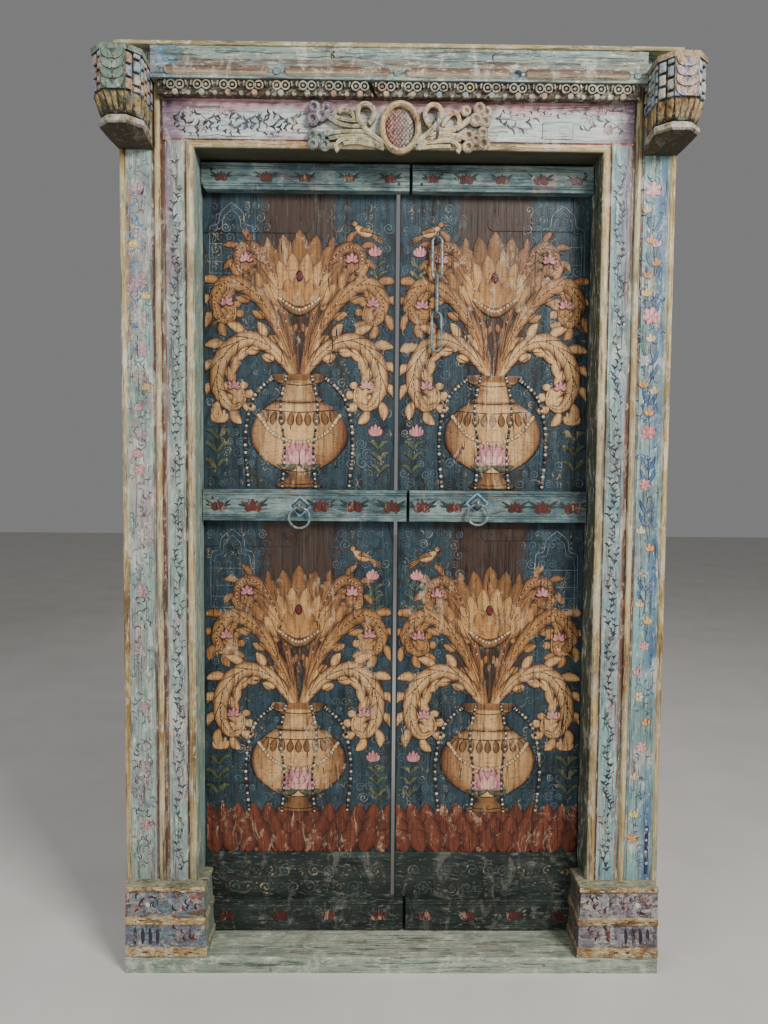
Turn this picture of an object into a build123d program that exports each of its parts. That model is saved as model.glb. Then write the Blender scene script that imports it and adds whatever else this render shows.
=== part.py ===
from build123d import *
import os

# A carved and painted double door in its timber frame.
# Millimetres. +X is to the right seen from the front, +Y goes into the house, +Z is up.
# The origin is the middle of the threshold's underside, in the plane of the jamb faces.
# Where both sides are alike, a piece is drawn on the right and mirrored.

# Doorway
OPENING_WIDTH = 916.0
OPENING_HEIGHT = 1843.0
FRAME_DEPTH = 140.0

# Threshold
SILL_THICKNESS = 36.0
SILL_NOSING = 45.0
SILL_TAIL = 10.0
SILL_END_INSET = 9.0
SILL_ROUND = 6.0

# Side timbers: the inner jamb with its rebate, and the outer pilaster beside it
JAMB_WIDTH = 70.0
LIP_DEPTH = 82.0
PILASTER_WIDTH = 97.0
PILASTER_DEPTH = 100.0
JAMB_BEAD = 18.0
PILASTER_INNER_BEAD = 14.0
PILASTER_OUTER_BEAD = 13.0
BEAD_RISE = 6.0
OUTER_BEAD_RISE = 4.0
JAMB_QUIRK = 4.0
PILASTER_QUIRK = 7.0
QUIRK_DEPTH = 2.0
SEAM_GROOVE = 5.0
SEAM_GROOVE_DEPTH = 3.0

# Lintel, header beam, frieze and cornice
LINTEL_HEIGHT = 109.0
HEADER_DEPTH = 110.0
FRIEZE_HEIGHT = 32.0
FRIEZE_DEPTH = 20.0
FRIEZE_CARVING = 7.0
FRIEZE_UNITS = 18
FRIEZE_MARGIN = 10.7
VOLUTE_RADIUS = 10.0
VOLUTE_SPACING = 19.0
VOLUTE_LINE = 3.0
PENDANT_RADIUS = 6.0
DROP_RADIUS = 4.5
BEAD_PROUD = 3.0
BREAK_X = -65.0
BREAK_WIDTH = 10.0
BREAK_LEAN = 18.0
CORNICE_HEIGHT = 78.0
CORNICE_DEPTH = 28.0
CAP_THICKNESS = 10.0
CAP_NOSING = 4.0
BAR_COUNT = 4
BAR_GAP = 31.0
BAR_START_MARGIN = 27.0
BAR_END_MARGIN = 7.0
BAR_HEIGHT = 22.0
BAR_RISE = 5.0
BAR_ABOVE_FRIEZE = 16.0
BUTTON_DIAMETER = 18.0
BUTTON_RISE = 4.0
POCKET_DEPTH = 9.0
EMPTY_BUTTON = 2
BAR_CHAMFER = 4.4
BUTTON_ROUND = 3.2

# Clearance of a piece in its seat, and how far a cutting shape reaches past the face it cuts
FIT = 0.3
PAST = 1.0

# Capitals
CAPITAL_HALF_WIDTH = 54.0
CAPITAL_REACH = 115.0
CAPITAL_CHAMFER = 28.0
CAPITAL_ABOVE_CORNICE_EDGE = 28.0
ABACUS_HEIGHT = 93.0
ABACUS_CAP = 12.0
PEG_ROWS = 3
PEG_DEPTH = 6.0
PEG_GAP = 5.0
PEG_TAPER = 12.0
LEAF_TIERS = 4
LEAF_RELIEF = 2.5
ECHINUS_HEIGHT = 37.0
NECK_HEIGHT = 4.0
TORUS_HEIGHT = 18.0
FOOT_HEIGHT = 21.0
TONGUE_RELIEF = 3.0
TONGUE_GAP = 2.0
TONGUE_SHARE = 0.8
LEAF_LEAN = 40.0
LEAF_LENGTH = 30.0
LEAF_BULGE = 8.0
END_PEG_COLUMNS = 4

# Each level of a capital stands in from its full half width and from its full reach
FULL_INSETS = (0.0, 0.0)
BELL_TOP_INSETS = (3.0, 5.0)
BELL_FOOT_INSETS = (10.0, 29.0)
NECK_INSETS = (13.0, 33.0)
ROLL_EDGE_INSETS = (8.0, 27.0)
ROLL_INSETS = (4.0, 23.0)
FOOT_INSETS = (16.0, 86.0)
FOOT_SHIFT = -14.0

# Tongues on each side of the echinus, from the outer side round the front to the inner one
TONGUE_COUNTS = (4, 2, 3, 2, 4)

# Plinth blocks
PLINTH_SPLIT = 8.0
PLINTH_INTRUSION = 22.0
PLINTH_FRONT = 37.0
PLINTH_OUTER_INSET = 8.0
PLINTH_BACK_CLEARANCE = 3.0
PLINTH_COURSES = ((24.0, 8.0, 8.0), (51.0, 5.0, 2.0), (19.0, 6.0, 6.0), (58.0, 2.0, -2.0), (12.0, 3.0, 3.0))
LEDGE_BEVEL = 4.0

# Crest: an oval medallion between stems, curls and flowers
CREST_CENTRE_X = 2.5
OVAL_HALF_WIDTH = 45.5
OVAL_HALF_HEIGHT = 57.5
OVAL_RIM = 12.0
OVAL_RISE = 22.0
OVAL_DOME = 16.0
OVAL_CHAMFER = 4.2
CREST_DROP = 12.0
LOOP_WIDTH = 10.0
LOOP_RISE = 20.0
REED_WIDTH = 8.0
REED_RISE = 15.0
REED_GROOVE = 1.6
PETAL_RISE = 17.0

# Leaves
LIP_CLEARANCE = 3.0
PIVOT_SETBACK = 20.0
STILE_RADIUS = 25.0
REBATE_CLEARANCE = 3.0
STILE_WIDTH = 123.0
STILE_SHOULDER = 40.0
BOARD_THICKNESS = 28.0
BOARDS_PER_LEAF = 3
FOOT_GAP = 6.0
HEAD_GAP = 4.0
MEETING_GAP = 8.7
MEETING_X = 2.3
FOOT_PIVOT_DIAMETER = 36.0
FOOT_PIVOT_LENGTH = 26.0
HEAD_PIVOT_DIAMETER = 30.0
HEAD_PIVOT_LENGTH = 40.0

# Rails and kick boards
RAIL_THICKNESS = 26.0
RAIL_END_GAP = 2.0
RAIL_LAP = 28.2
RAIL_GAP = 7.0
LAP_RELIEF = 1.0
TOP_RAIL_HEIGHT = 61.0
TOP_RAIL_DROP = 7.0
MIDDLE_RAIL_HEIGHT = 74.0
MIDDLE_RAIL_Z = 1079.0
BOTTOM_RAIL_HEIGHT = 75.0
RAIL_QUIRK = 2.0
RAIL_QUIRK_MARGINS = (8.0, 13.0)
KICK_HEIGHT = 109.0
KICK_THICKNESS = 8.0
KICK_STRIP = 23.0
KICK_STRIP_SINK = 2.0
CHIP_WIDTH = 9.0
CHIP_HEIGHT = 12.0

# Iron straps: distance of the centre line from what it is measured from, width, and length.
# The top ones are measured down from the soffit, the middle ones down from the middle rail's
# centre line, and the bottom ones up from the leaf's foot.
STRAP_THICKNESS = 2.0
LEFT_STRAPS = ((139.0, 40.0, 253.0), (83.0, 34.0, 219.0), (374.0, 34.0, 259.0))
RIGHT_STRAPS = ((133.0, 32.0, 242.0), (69.0, 28.0, 247.0), (360.0, 31.0, 248.0))
STRAP_NAMES = ("top", "middle", "bottom")
STRAP_END_ROUND = 0.45

# Ring pulls
RING_DIAMETER = 55.0
RING_WIRE = 6.0
# Place of each eye: outwards from the middle line of the leaf's second board, and above the
# middle rail's centre line
LEFT_RING_OUT = 47.0
RIGHT_RING_OUT = 14.2
LEFT_RING_RISE = -2.0
RIGHT_RING_RISE = 8.0
EYE_RADIUS = 8.0
EYE_WIRE = 5.0
SHANK_DIAMETER = 6.0
PLATE_SIDE = 20.0
PLATE_THICKNESS = 2.0
CLENCH_LENGTH = 26.0
CLENCH_THICKNESS = 3.0

# Chain on the right leaf, and the staple on the lintel that it is hooked over
CHAIN_FROM_EDGE = 87.4
CHAIN_BELOW_SOFFIT = 166.3
CHAIN_EYE_RADIUS = 9.0
CHAIN_STANDOFF = 16.0
LINK_LENGTHS = (101.0, 101.0, 96.0)
LINK_WIDTH = 29.0
LINK_WIRE = 6.5
LINTEL_STAPLE_X = 84.0
LINTEL_STAPLE_ABOVE_SOFFIT = 47.0
LINTEL_STAPLE_HEIGHT = 46.0
LINTEL_STAPLE_REACH = 46.0
LINTEL_STAPLE_WIRE = 7.0
LINTEL_STAPLE_DEPTH = 30.0
QUARTER_TURN = 90.0

# Patch let into the lintel
PATCH_FROM_END = 172.0
PATCH_ABOVE_SOFFIT = 48.0
PATCH_WIDTH = 67.0
PATCH_HEIGHT = 36.0
PATCH_DEPTH = 6.0
PATCH_PROUD = 1.0

# Places that follow from the sizes above
half_opening = OPENING_WIDTH / 2
jamb_outer = half_opening + JAMB_WIDTH
pilaster_outer = jamb_outer + PILASTER_WIDTH
sill_half = pilaster_outer - SILL_END_INSET
soffit = SILL_THICKNESS + OPENING_HEIGHT
jamb_top = soffit + JAMB_BEAD
lintel_top = soffit + LINTEL_HEIGHT
cornice_bottom = lintel_top + FRIEZE_HEIGHT
cornice_top = cornice_bottom + CORNICE_HEIGHT
cap_bottom = cornice_top - CAP_THICKNESS
inner_bead_edge = jamb_outer + SEAM_GROOVE + PILASTER_INNER_BEAD
plinth_top = SILL_THICKNESS + sum(height for height, low, high in PLINTH_COURSES)
leaf_front = LIP_DEPTH + LIP_CLEARANCE
leaf_back = leaf_front + BOARD_THICKNESS
pivot_x = half_opening + PIVOT_SETBACK
pivot_y = leaf_front + STILE_RADIUS
rebate_wall = pivot_x + STILE_RADIUS + REBATE_CLEARANCE
leaf_foot = SILL_THICKNESS + FOOT_GAP
leaf_head = jamb_top - HEAD_GAP
stile_edge = pivot_x - STILE_WIDTH
rail_front = leaf_front - RAIL_THICKNESS
rail_outer = half_opening - RAIL_END_GAP
top_rail_z = soffit - TOP_RAIL_DROP - TOP_RAIL_HEIGHT / 2
bottom_rail_z = leaf_foot + BOTTOM_RAIL_HEIGHT / 2
kick_foot = leaf_foot + BOTTOM_RAIL_HEIGHT
capital_x = inner_bead_edge + CAPITAL_HALF_WIDTH
capital_top = cornice_bottom + CAPITAL_ABOVE_CORNICE_EDGE
abacus_bottom = capital_top - ABACUS_HEIGHT
echinus_bottom = abacus_bottom - ECHINUS_HEIGHT
torus_top = echinus_bottom - NECK_HEIGHT
torus_bottom = torus_top - TORUS_HEIGHT
capital_foot = torus_bottom - FOOT_HEIGHT
crest_z = lintel_top - CREST_DROP / 2 - OVAL_HALF_HEIGHT
bar_z = cornice_bottom + BAR_ABOVE_FRIEZE
bar_pitch = (2 * inner_bead_edge - BAR_START_MARGIN - BAR_END_MARGIN) / BAR_COUNT
bar_length = bar_pitch - BAR_GAP
first_bar = BAR_START_MARGIN + bar_length / 2 - inner_bead_edge
bar_places = [first_bar + index * bar_pitch for index in range(BAR_COUNT)]
button_places = [x + bar_pitch / 2 for x in bar_places]
ring_eye_y = rail_front - PLATE_THICKNESS - EYE_RADIUS - EYE_WIRE / 2
ring_drop = EYE_RADIUS - EYE_WIRE / 2 - RING_WIRE / 2 - FIT
ring_radius = (RING_DIAMETER - RING_WIRE) / 2
left_edge = MEETING_GAP / 2 - MEETING_X
right_edge = MEETING_GAP / 2 + MEETING_X
left_rail_end = RAIL_GAP / 2 - MEETING_X - RAIL_LAP
right_rail_end = RAIL_GAP / 2 + MEETING_X + RAIL_LAP
chain_x = right_edge + CHAIN_FROM_EDGE
staple_z = soffit + LINTEL_STAPLE_ABOVE_SOFFIT
patch_x = jamb_outer - PATCH_FROM_END
patch_z = soffit + PATCH_ABOVE_SOFFIT
chain_y = leaf_front - CHAIN_STANDOFF
chain_eye_z = soffit - CHAIN_BELOW_SOFFIT
chain_top_z = chain_eye_z - CHAIN_EYE_RADIUS + EYE_WIRE / 2 + LINK_WIRE / 2 + FIT
link_radius = (LINK_WIDTH - LINK_WIRE) / 2
link_step = LINK_WIRE + FIT


def block(x0, x1, y0, y1, z0, z1):
    """Box between two corners."""
    return Pos((x0 + x1) / 2, (y0 + y1) / 2, (z0 + z1) / 2) * Box(x1 - x0, y1 - y0, z1 - z0)


def outline(start, *steps):
    """Closed flat face. A step of two numbers is a line's end, one of four an arc's middle and end."""
    edges = []
    here = start
    for step in steps:
        if len(step) == 2:
            edges.append(Line(here, step))
            here = step
        else:
            edges.append(ThreePointArc(here, step[:2], step[2:]))
            here = step[2:]
    if here != start:
        edges.append(Line(here, start))
    return make_face(edges)


def upright(face, z0, z1):
    """Plan face drawn in X and Y, raised between two heights."""
    return Pos(0, 0, z0) * extrude(face, z1 - z0, dir=(0, 0, 1))


def facing(face, y_back, y_front):
    """Face drawn in X and Z, as deep as from y_back forward to y_front."""
    return Pos(0, y_back, 0) * extrude(Plane.XZ * face, y_back - y_front, dir=(0, -1, 0))


def running(face, x0, x1):
    """Section drawn in Y and Z, run along X."""
    return Pos(x0, 0, 0) * extrude(Plane.YZ * face, x1 - x0, dir=(1, 0, 0))


def pin_y(radius, x, z, y0, y1):
    """Round bar along Y."""
    return Pos(x, (y0 + y1) / 2, z) * Rot(90, 0, 0) * Cylinder(radius, y1 - y0)


def left_of(shape):
    """The same piece on the left side."""
    return mirror(shape, about=Plane.YZ)


# Threshold

def threshold():
    board = block(-sill_half, sill_half, -SILL_NOSING, FRAME_DEPTH + SILL_TAIL, 0, SILL_THICKNESS)
    nosing = board.edges().filter_by(Axis.X).sort_by(Axis.Y)[:2].sort_by(Axis.Z)[-1]
    board = fillet(nosing, SILL_ROUND)
    depth = FOOT_PIVOT_LENGTH - FOOT_GAP + FIT
    for side in (-1, 1):
        board -= Pos(side * pivot_x, pivot_y, SILL_THICKNESS - depth / 2) * Cylinder(
            FOOT_PIVOT_DIAMETER / 2 + FIT, depth)
    return board


# Inner jamb

def mitre_corner(y0, y1):
    """What the lintel takes from the top of the jamb, so that their beads meet in a mitre."""
    corner = outline((half_opening, soffit), (half_opening + JAMB_BEAD, jamb_top), (half_opening, jamb_top))
    return facing(corner, y1, y0)


def inner_jamb():
    quirk = half_opening + JAMB_BEAD
    plan = outline(
        (half_opening, 0),
        (quirk, 0), (quirk, QUIRK_DEPTH), (quirk + JAMB_QUIRK, QUIRK_DEPTH), (quirk + JAMB_QUIRK, 0),
        (jamb_outer - SEAM_GROOVE, 0), (jamb_outer - SEAM_GROOVE, SEAM_GROOVE_DEPTH),
        (jamb_outer, SEAM_GROOVE_DEPTH), (jamb_outer, FRAME_DEPTH),
        (rebate_wall, FRAME_DEPTH), (rebate_wall, LIP_DEPTH), (half_opening, LIP_DEPTH))
    timber = upright(plan, SILL_THICKNESS, jamb_top)
    bead = outline((half_opening, 0), (half_opening + JAMB_BEAD / 2, -BEAD_RISE, quirk, 0))
    timber += upright(bead, plinth_top, jamb_top)
    return timber - mitre_corner(-BEAD_RISE - PAST, LIP_DEPTH)


# Outer pilaster

def pilaster():
    bead_start = jamb_outer + SEAM_GROOVE
    band_start = inner_bead_edge + PILASTER_QUIRK
    plan = outline(
        (jamb_outer, SEAM_GROOVE_DEPTH), (bead_start, SEAM_GROOVE_DEPTH), (bead_start, 0),
        (inner_bead_edge, 0), (inner_bead_edge, QUIRK_DEPTH), (band_start, QUIRK_DEPTH),
        (band_start, 0), (pilaster_outer, 0), (pilaster_outer, PILASTER_DEPTH), (jamb_outer, PILASTER_DEPTH))
    timber = upright(plan, SILL_THICKNESS, cap_bottom)
    inner = outline(
        (bead_start, 0),
        (bead_start + PILASTER_INNER_BEAD / 2, -BEAD_RISE, inner_bead_edge, 0))
    outer_start = pilaster_outer - PILASTER_OUTER_BEAD
    outer = outline(
        (outer_start, 0),
        (outer_start + PILASTER_OUTER_BEAD / 2, -OUTER_BEAD_RISE, pilaster_outer, 0))
    timber += upright(inner, plinth_top, cornice_bottom)
    timber += upright(outer, plinth_top, capital_foot)
    return timber


# Lintel and header

def staple_holes(radius, y0, y1):
    """The two leg holes of the lintel staple."""
    offset = LINTEL_STAPLE_HEIGHT / 2
    low = pin_y(radius, LINTEL_STAPLE_X, staple_z - offset, y0, y1)
    high = pin_y(radius, LINTEL_STAPLE_X, staple_z + offset, y0, y1)
    return low + high


def lintel():
    beam = block(-jamb_outer, jamb_outer, 0, FRAME_DEPTH, jamb_top, lintel_top)
    shoulder = half_opening + JAMB_BEAD
    lip = outline((-half_opening, soffit), (half_opening, soffit), (shoulder, jamb_top), (-shoulder, jamb_top))
    beam += facing(lip, LIP_DEPTH, 0)
    bead = outline((0, soffit), (-BEAD_RISE, soffit + JAMB_BEAD / 2, 0, jamb_top))
    beam += running(bead, -shoulder, shoulder) & facing(lip, 0, -BEAD_RISE - PAST)
    quirk_end = shoulder + JAMB_QUIRK
    beam -= block(-quirk_end, quirk_end, 0, QUIRK_DEPTH, jamb_top, jamb_top + JAMB_QUIRK)
    socket = HEAD_PIVOT_LENGTH - HEAD_GAP + FIT
    for side in (-1, 1):
        beam -= Pos(side * pivot_x, pivot_y, jamb_top + socket / 2) * Cylinder(
            HEAD_PIVOT_DIAMETER / 2 + FIT, socket)
    beam -= staple_holes(LINTEL_STAPLE_WIRE / 2 + FIT, -PAST, LINTEL_STAPLE_DEPTH + FIT)
    beam -= Pos(patch_x, (PATCH_DEPTH - PATCH_PROUD) / 2, patch_z) * Box(
        PATCH_WIDTH, PATCH_DEPTH - PATCH_PROUD, PATCH_HEIGHT)
    return beam


def lintel_patch():
    middle_y = PATCH_DEPTH / 2 - PATCH_PROUD
    return Pos(patch_x, middle_y, patch_z) * Box(PATCH_WIDTH - FIT, PATCH_DEPTH, PATCH_HEIGHT - FIT)


def lintel_staple():
    """Round bar bent to a U, both legs driven into the lintel through the crest."""
    bend = LINTEL_STAPLE_HEIGHT / 2
    turn_y = bend - LINTEL_STAPLE_REACH
    low = staple_z - bend
    high = staple_z + bend
    tip = (LINTEL_STAPLE_X, -LINTEL_STAPLE_REACH, staple_z)
    path = Line((LINTEL_STAPLE_X, LINTEL_STAPLE_DEPTH, low), (LINTEL_STAPLE_X, turn_y, low))
    path += ThreePointArc((LINTEL_STAPLE_X, turn_y, low), tip, (LINTEL_STAPLE_X, turn_y, high))
    path += Line((LINTEL_STAPLE_X, turn_y, high), (LINTEL_STAPLE_X, LINTEL_STAPLE_DEPTH, high))
    section = Plane(path @ 0, z_dir=path % 0) * Circle(LINTEL_STAPLE_WIRE / 2)
    return sweep(section, path=path)


def header_beam():
    return block(-jamb_outer, jamb_outer, 0, HEADER_DEPTH, lintel_top, cap_bottom)


# Frieze

def volute_unit():
    """Two touching volutes under an arch, all as raised lines, drawn in X and Z about the unit's middle."""
    z = cornice_bottom - VOLUTE_RADIUS - VOLUTE_LINE
    lines = Sketch()
    for side in (-1, 1):
        centre = Pos(side * VOLUTE_SPACING / 2, z)
        lines += centre * (Circle(VOLUTE_RADIUS) - Circle(VOLUTE_RADIUS - VOLUTE_LINE))
        lines += centre * Circle(VOLUTE_LINE)
    reach = VOLUTE_SPACING / 2 + VOLUTE_RADIUS
    arch = Circle(reach + 2 * VOLUTE_LINE) - Circle(reach + VOLUTE_LINE)
    window = Pos(0, VOLUTE_RADIUS / 2 - VOLUTE_LINE / 2) * Rectangle(4 * reach, VOLUTE_RADIUS)
    return lines + Pos(0, z) * (arch & window)


def frieze():
    """Carved strip: volute pairs with a pendant bead below each and a smaller one between them."""
    half = jamb_outer + SEAM_GROOVE - FIT
    pitch = 2 * (half - FRIEZE_MARGIN) / FRIEZE_UNITS
    root = PAST - FRIEZE_DEPTH
    front = -FRIEZE_DEPTH - FRIEZE_CARVING
    volutes = facing(volute_unit(), root, front)
    pendant = facing(Pos(0, lintel_top + PENDANT_RADIUS / 3) * Circle(PENDANT_RADIUS), root, front - BEAD_PROUD)
    drop = facing(Pos(0, lintel_top + DROP_RADIUS / 3) * Circle(DROP_RADIUS), root, front)
    carving = []
    for index in range(FRIEZE_UNITS):
        x = (index - (FRIEZE_UNITS - 1) / 2) * pitch
        carving += [Pos(x, 0, 0) * volutes, Pos(x, 0, 0) * pendant]
        if index < FRIEZE_UNITS - 1:
            carving.append(Pos(x + pitch / 2, 0, 0) * drop)
    strip = block(-half, half, -FRIEZE_DEPTH, 0, lintel_top, cornice_bottom) + carving
    return strip - frieze_break()


def frieze_break():
    """The slanting gap where the strip is broken through."""
    low = BREAK_X + BREAK_LEAN / 2
    high = BREAK_X - BREAK_LEAN / 2
    z0 = lintel_top - PENDANT_RADIUS
    gap = outline((low, z0), (low + BREAK_WIDTH, z0), (high + BREAK_WIDTH, cornice_bottom), (high, cornice_bottom))
    return facing(gap, 0, -FRIEZE_DEPTH - FRIEZE_CARVING - BEAD_PROUD)


# Cornice

def cornice_board():
    board = block(-inner_bead_edge, inner_bead_edge, -CORNICE_DEPTH, 0, cornice_bottom, cap_bottom)
    for x in bar_places:
        slot = Pos(x, bar_z) * SlotOverall(bar_length, BAR_HEIGHT)
        board -= facing(slot, POCKET_DEPTH - CORNICE_DEPTH, -CORNICE_DEPTH)
    for x in button_places:
        board -= pin_y(BUTTON_DIAMETER / 2, x, bar_z, -CORNICE_DEPTH, POCKET_DEPTH - CORNICE_DEPTH)
    return board


def cornice_cap():
    cap = block(-pilaster_outer, pilaster_outer, -CORNICE_DEPTH - CAP_NOSING, HEADER_DEPTH, cap_bottom, cornice_top)
    nosing = cap.edges().filter_by(Axis.X).sort_by(Axis.Y)[:2]
    return fillet(nosing, CAP_THICKNESS / 3)


def cornice_bars():
    """Four bars with a rounded face, each let into its slot."""
    pieces = []
    for x in bar_places:
        body = Pos(x, bar_z) * SlotOverall(bar_length - 2 * FIT, BAR_HEIGHT - 2 * FIT)
        bar = facing(body, POCKET_DEPTH - CORNICE_DEPTH, -CORNICE_DEPTH - BAR_RISE)
        front = bar.faces().sort_by(Axis.Y)[0]
        pieces.append(chamfer(front.edges(), BAR_CHAMFER))
    return Compound(pieces)


def cornice_buttons():
    """The round buttons that are left. One hole is empty."""
    pieces = []
    for index, x in enumerate(button_places):
        if index == EMPTY_BUTTON:
            continue
        radius = BUTTON_DIAMETER / 2 - FIT
        button = pin_y(radius, x, bar_z, -CORNICE_DEPTH - BUTTON_RISE, POCKET_DEPTH - CORNICE_DEPTH)
        front = button.faces().sort_by(Axis.Y)[0]
        pieces.append(fillet(front.edges(), BUTTON_ROUND))
    return Compound(pieces)


# Capital

def capital_corners(insets, shift=0.0):
    """Corners of the capital's plan at one level, about its own middle, from the pilaster round the front."""
    half_width = CAPITAL_HALF_WIDTH - insets[0]
    reach = CAPITAL_REACH - insets[1]
    flat = half_width - CAPITAL_CHAMFER
    shoulder = CAPITAL_CHAMFER - reach
    return [
        (shift + half_width, 0), (shift + half_width, shoulder), (shift + flat, -reach),
        (shift - flat, -reach), (shift - half_width, shoulder), (shift - half_width, 0)]


def capital_layer(z0, lower, z1, upper):
    """Solid between two plans at two levels. Its faces are flat, because the plans' sides are parallel."""
    low = Pos(0, 0, z0) * make_face(Polyline(*lower, close=True))
    high = Pos(0, 0, z1) * make_face(Polyline(*upper, close=True))
    return loft([low, high], ruled=True)


def face_plane(start, end, z):
    """Plane on an upright side of the plan, X along the side and Z pointing out of it."""
    along = (Vector(*end) - Vector(*start)).normalized()
    outward = Vector(-along.Y, along.X)
    middle = (Vector(*start) + Vector(*end)) / 2
    return Plane(origin=(middle.X, middle.Y, z), x_dir=(-along.X, -along.Y, 0), z_dir=(-outward.X, -outward.Y, 0))


def peg_field(start, end, z0, z1, columns):
    """Rows of tapered pegs over one side of the abacus."""
    side = face_plane(start, end, (z0 + z1) / 2)
    length = (Vector(*end) - Vector(*start)).length
    pitch_x = length / columns
    pitch_z = (z1 - z0) / PEG_ROWS
    pegs = []
    for column in range(columns):
        for row in range(PEG_ROWS):
            place = Pos((column - (columns - 1) / 2) * pitch_x, (row - (PEG_ROWS - 1) / 2) * pitch_z)
            peg = side * place * Rectangle(pitch_x - PEG_GAP, pitch_z - PEG_GAP)
            pegs.append(extrude(peg, PEG_DEPTH, taper=PEG_TAPER))
    return pegs


def leaf_pairs(z0, z1):
    """Tiers of paired leaves on the front of the abacus, rising to each side of the stem."""
    tier = (z1 - z0) / LEAF_TIERS
    middle = LEAF_LENGTH / 2
    leaf = outline((0, 0), (middle, -LEAF_BULGE, LEAF_LENGTH, 0), (middle, LEAF_BULGE, 0, 0))
    leaves = []
    for index in range(LEAF_TIERS):
        z = z0 + index * tier
        for lean in (LEAF_LEAN, 180 - LEAF_LEAN):
            shape = Pos(0, z) * Rot(0, 0, lean) * leaf
            leaves.append(facing(shape, PEG_DEPTH - CAPITAL_REACH, -CAPITAL_REACH - LEAF_RELIEF))
    return leaves


def tongues(upper, lower, count):
    """Raised tongues side by side on one sloping side of the echinus."""
    top_a, top_b = (Vector(x, y, abacus_bottom) for x, y in upper)
    low_a, low_b = (Vector(x, y, echinus_bottom) for x, y in lower)
    middle = (top_a + top_b + low_a + low_b) / 4
    along = (top_b - top_a).normalized()
    rise = ((top_a + top_b) / 2 - (low_a + low_b) / 2).normalized()
    slope = Plane(origin=middle, x_dir=along, z_dir=along.cross(rise))
    width = min((top_b - top_a).length, (low_b - low_a).length) / count
    height = ((top_a + top_b) / 2 - (low_a + low_b) / 2).length * TONGUE_SHARE
    half = (width - TONGUE_GAP) / 2
    tongue = outline((-half, height / 2), (-half, 0), (0, -height / 2, half, 0), (half, height / 2))
    pieces = []
    for index in range(count):
        place = Pos((index - (count - 1) / 2) * width, 0)
        pieces.append(extrude(slope * place * tongue, TONGUE_RELIEF, taper=PEG_TAPER))
    return pieces


def capital():
    """Corner capital: pegged abacus, tongued echinus, torus and a foot that runs back to the pilaster."""
    full = capital_corners(FULL_INSETS)
    core = capital_corners((PEG_DEPTH, PEG_DEPTH))
    bell_top = capital_corners(BELL_TOP_INSETS)
    bell_foot = capital_corners(BELL_FOOT_INSETS)
    neck = capital_corners(NECK_INSETS)
    roll_edge = capital_corners(ROLL_EDGE_INSETS)
    roll = capital_corners(ROLL_INSETS)
    foot = capital_corners(FOOT_INSETS, FOOT_SHIFT)
    slab_bottom = capital_top - ABACUS_CAP
    lip = TORUS_HEIGHT / 4
    solid = capital_layer(slab_bottom, full, capital_top, full)
    solid += capital_layer(abacus_bottom, core, slab_bottom, core)
    solid += capital_layer(echinus_bottom, bell_foot, abacus_bottom, bell_top)
    solid += capital_layer(torus_top, neck, echinus_bottom, neck)
    solid += capital_layer(torus_top - lip, roll, torus_top, roll_edge)
    solid += capital_layer(torus_bottom + lip, roll, torus_top - lip, roll)
    solid += capital_layer(torus_bottom, roll_edge, torus_bottom + lip, roll)
    solid += capital_layer(capital_foot, foot, torus_bottom, roll_edge)
    for index, columns in ((0, END_PEG_COLUMNS), (1, 1), (3, 1), (4, END_PEG_COLUMNS)):
        solid += peg_field(core[index], core[index + 1], abacus_bottom, slab_bottom, columns)
    flat = CAPITAL_HALF_WIDTH - CAPITAL_CHAMFER
    solid += block(-flat, flat, -CAPITAL_REACH, PEG_DEPTH - CAPITAL_REACH, abacus_bottom, slab_bottom)
    solid += leaf_pairs(abacus_bottom, slab_bottom)
    for index, count in enumerate(TONGUE_COUNTS):
        solid += tongues(bell_top[index:index + 2], bell_foot[index:index + 2], count)
    return Pos(capital_x, 0, 0) * solid


# Plinth blocks

def inner_footprint(spread):
    inner = half_opening - PLINTH_INTRUSION - spread
    front = -PLINTH_FRONT - spread
    seam = jamb_outer - PLINTH_SPLIT
    back = rail_front - PLINTH_BACK_CLEARANCE
    return [(seam, 0), (seam, front), (inner, front), (inner, back), (half_opening, back), (half_opening, 0)]


def outer_footprint(spread):
    seam = jamb_outer - PLINTH_SPLIT
    outer = pilaster_outer - PLINTH_OUTER_INSET
    front = -PLINTH_FRONT - spread
    return [(seam, 0), (outer, 0), (outer, front), (seam, front)]


def plinth(footprint):
    """Courses of the block from the threshold up. Every second course is a bevelled ledge."""
    z = SILL_THICKNESS
    pieces = []
    for index, (height, low, high) in enumerate(PLINTH_COURSES):
        if index % 2:
            levels = ((0, low), (height, high))
        else:
            levels = ((0, low - LEDGE_BEVEL / 2), (LEDGE_BEVEL, low), (height - LEDGE_BEVEL, high),
                      (height, high - LEDGE_BEVEL / 2))
        for (z0, spread0), (z1, spread1) in zip(levels, levels[1:]):
            pieces.append(capital_layer(z + z0, footprint(spread0), z + z1, footprint(spread1)))
        z += height
    return pieces[0] + pieces[1:]


# Crest

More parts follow.
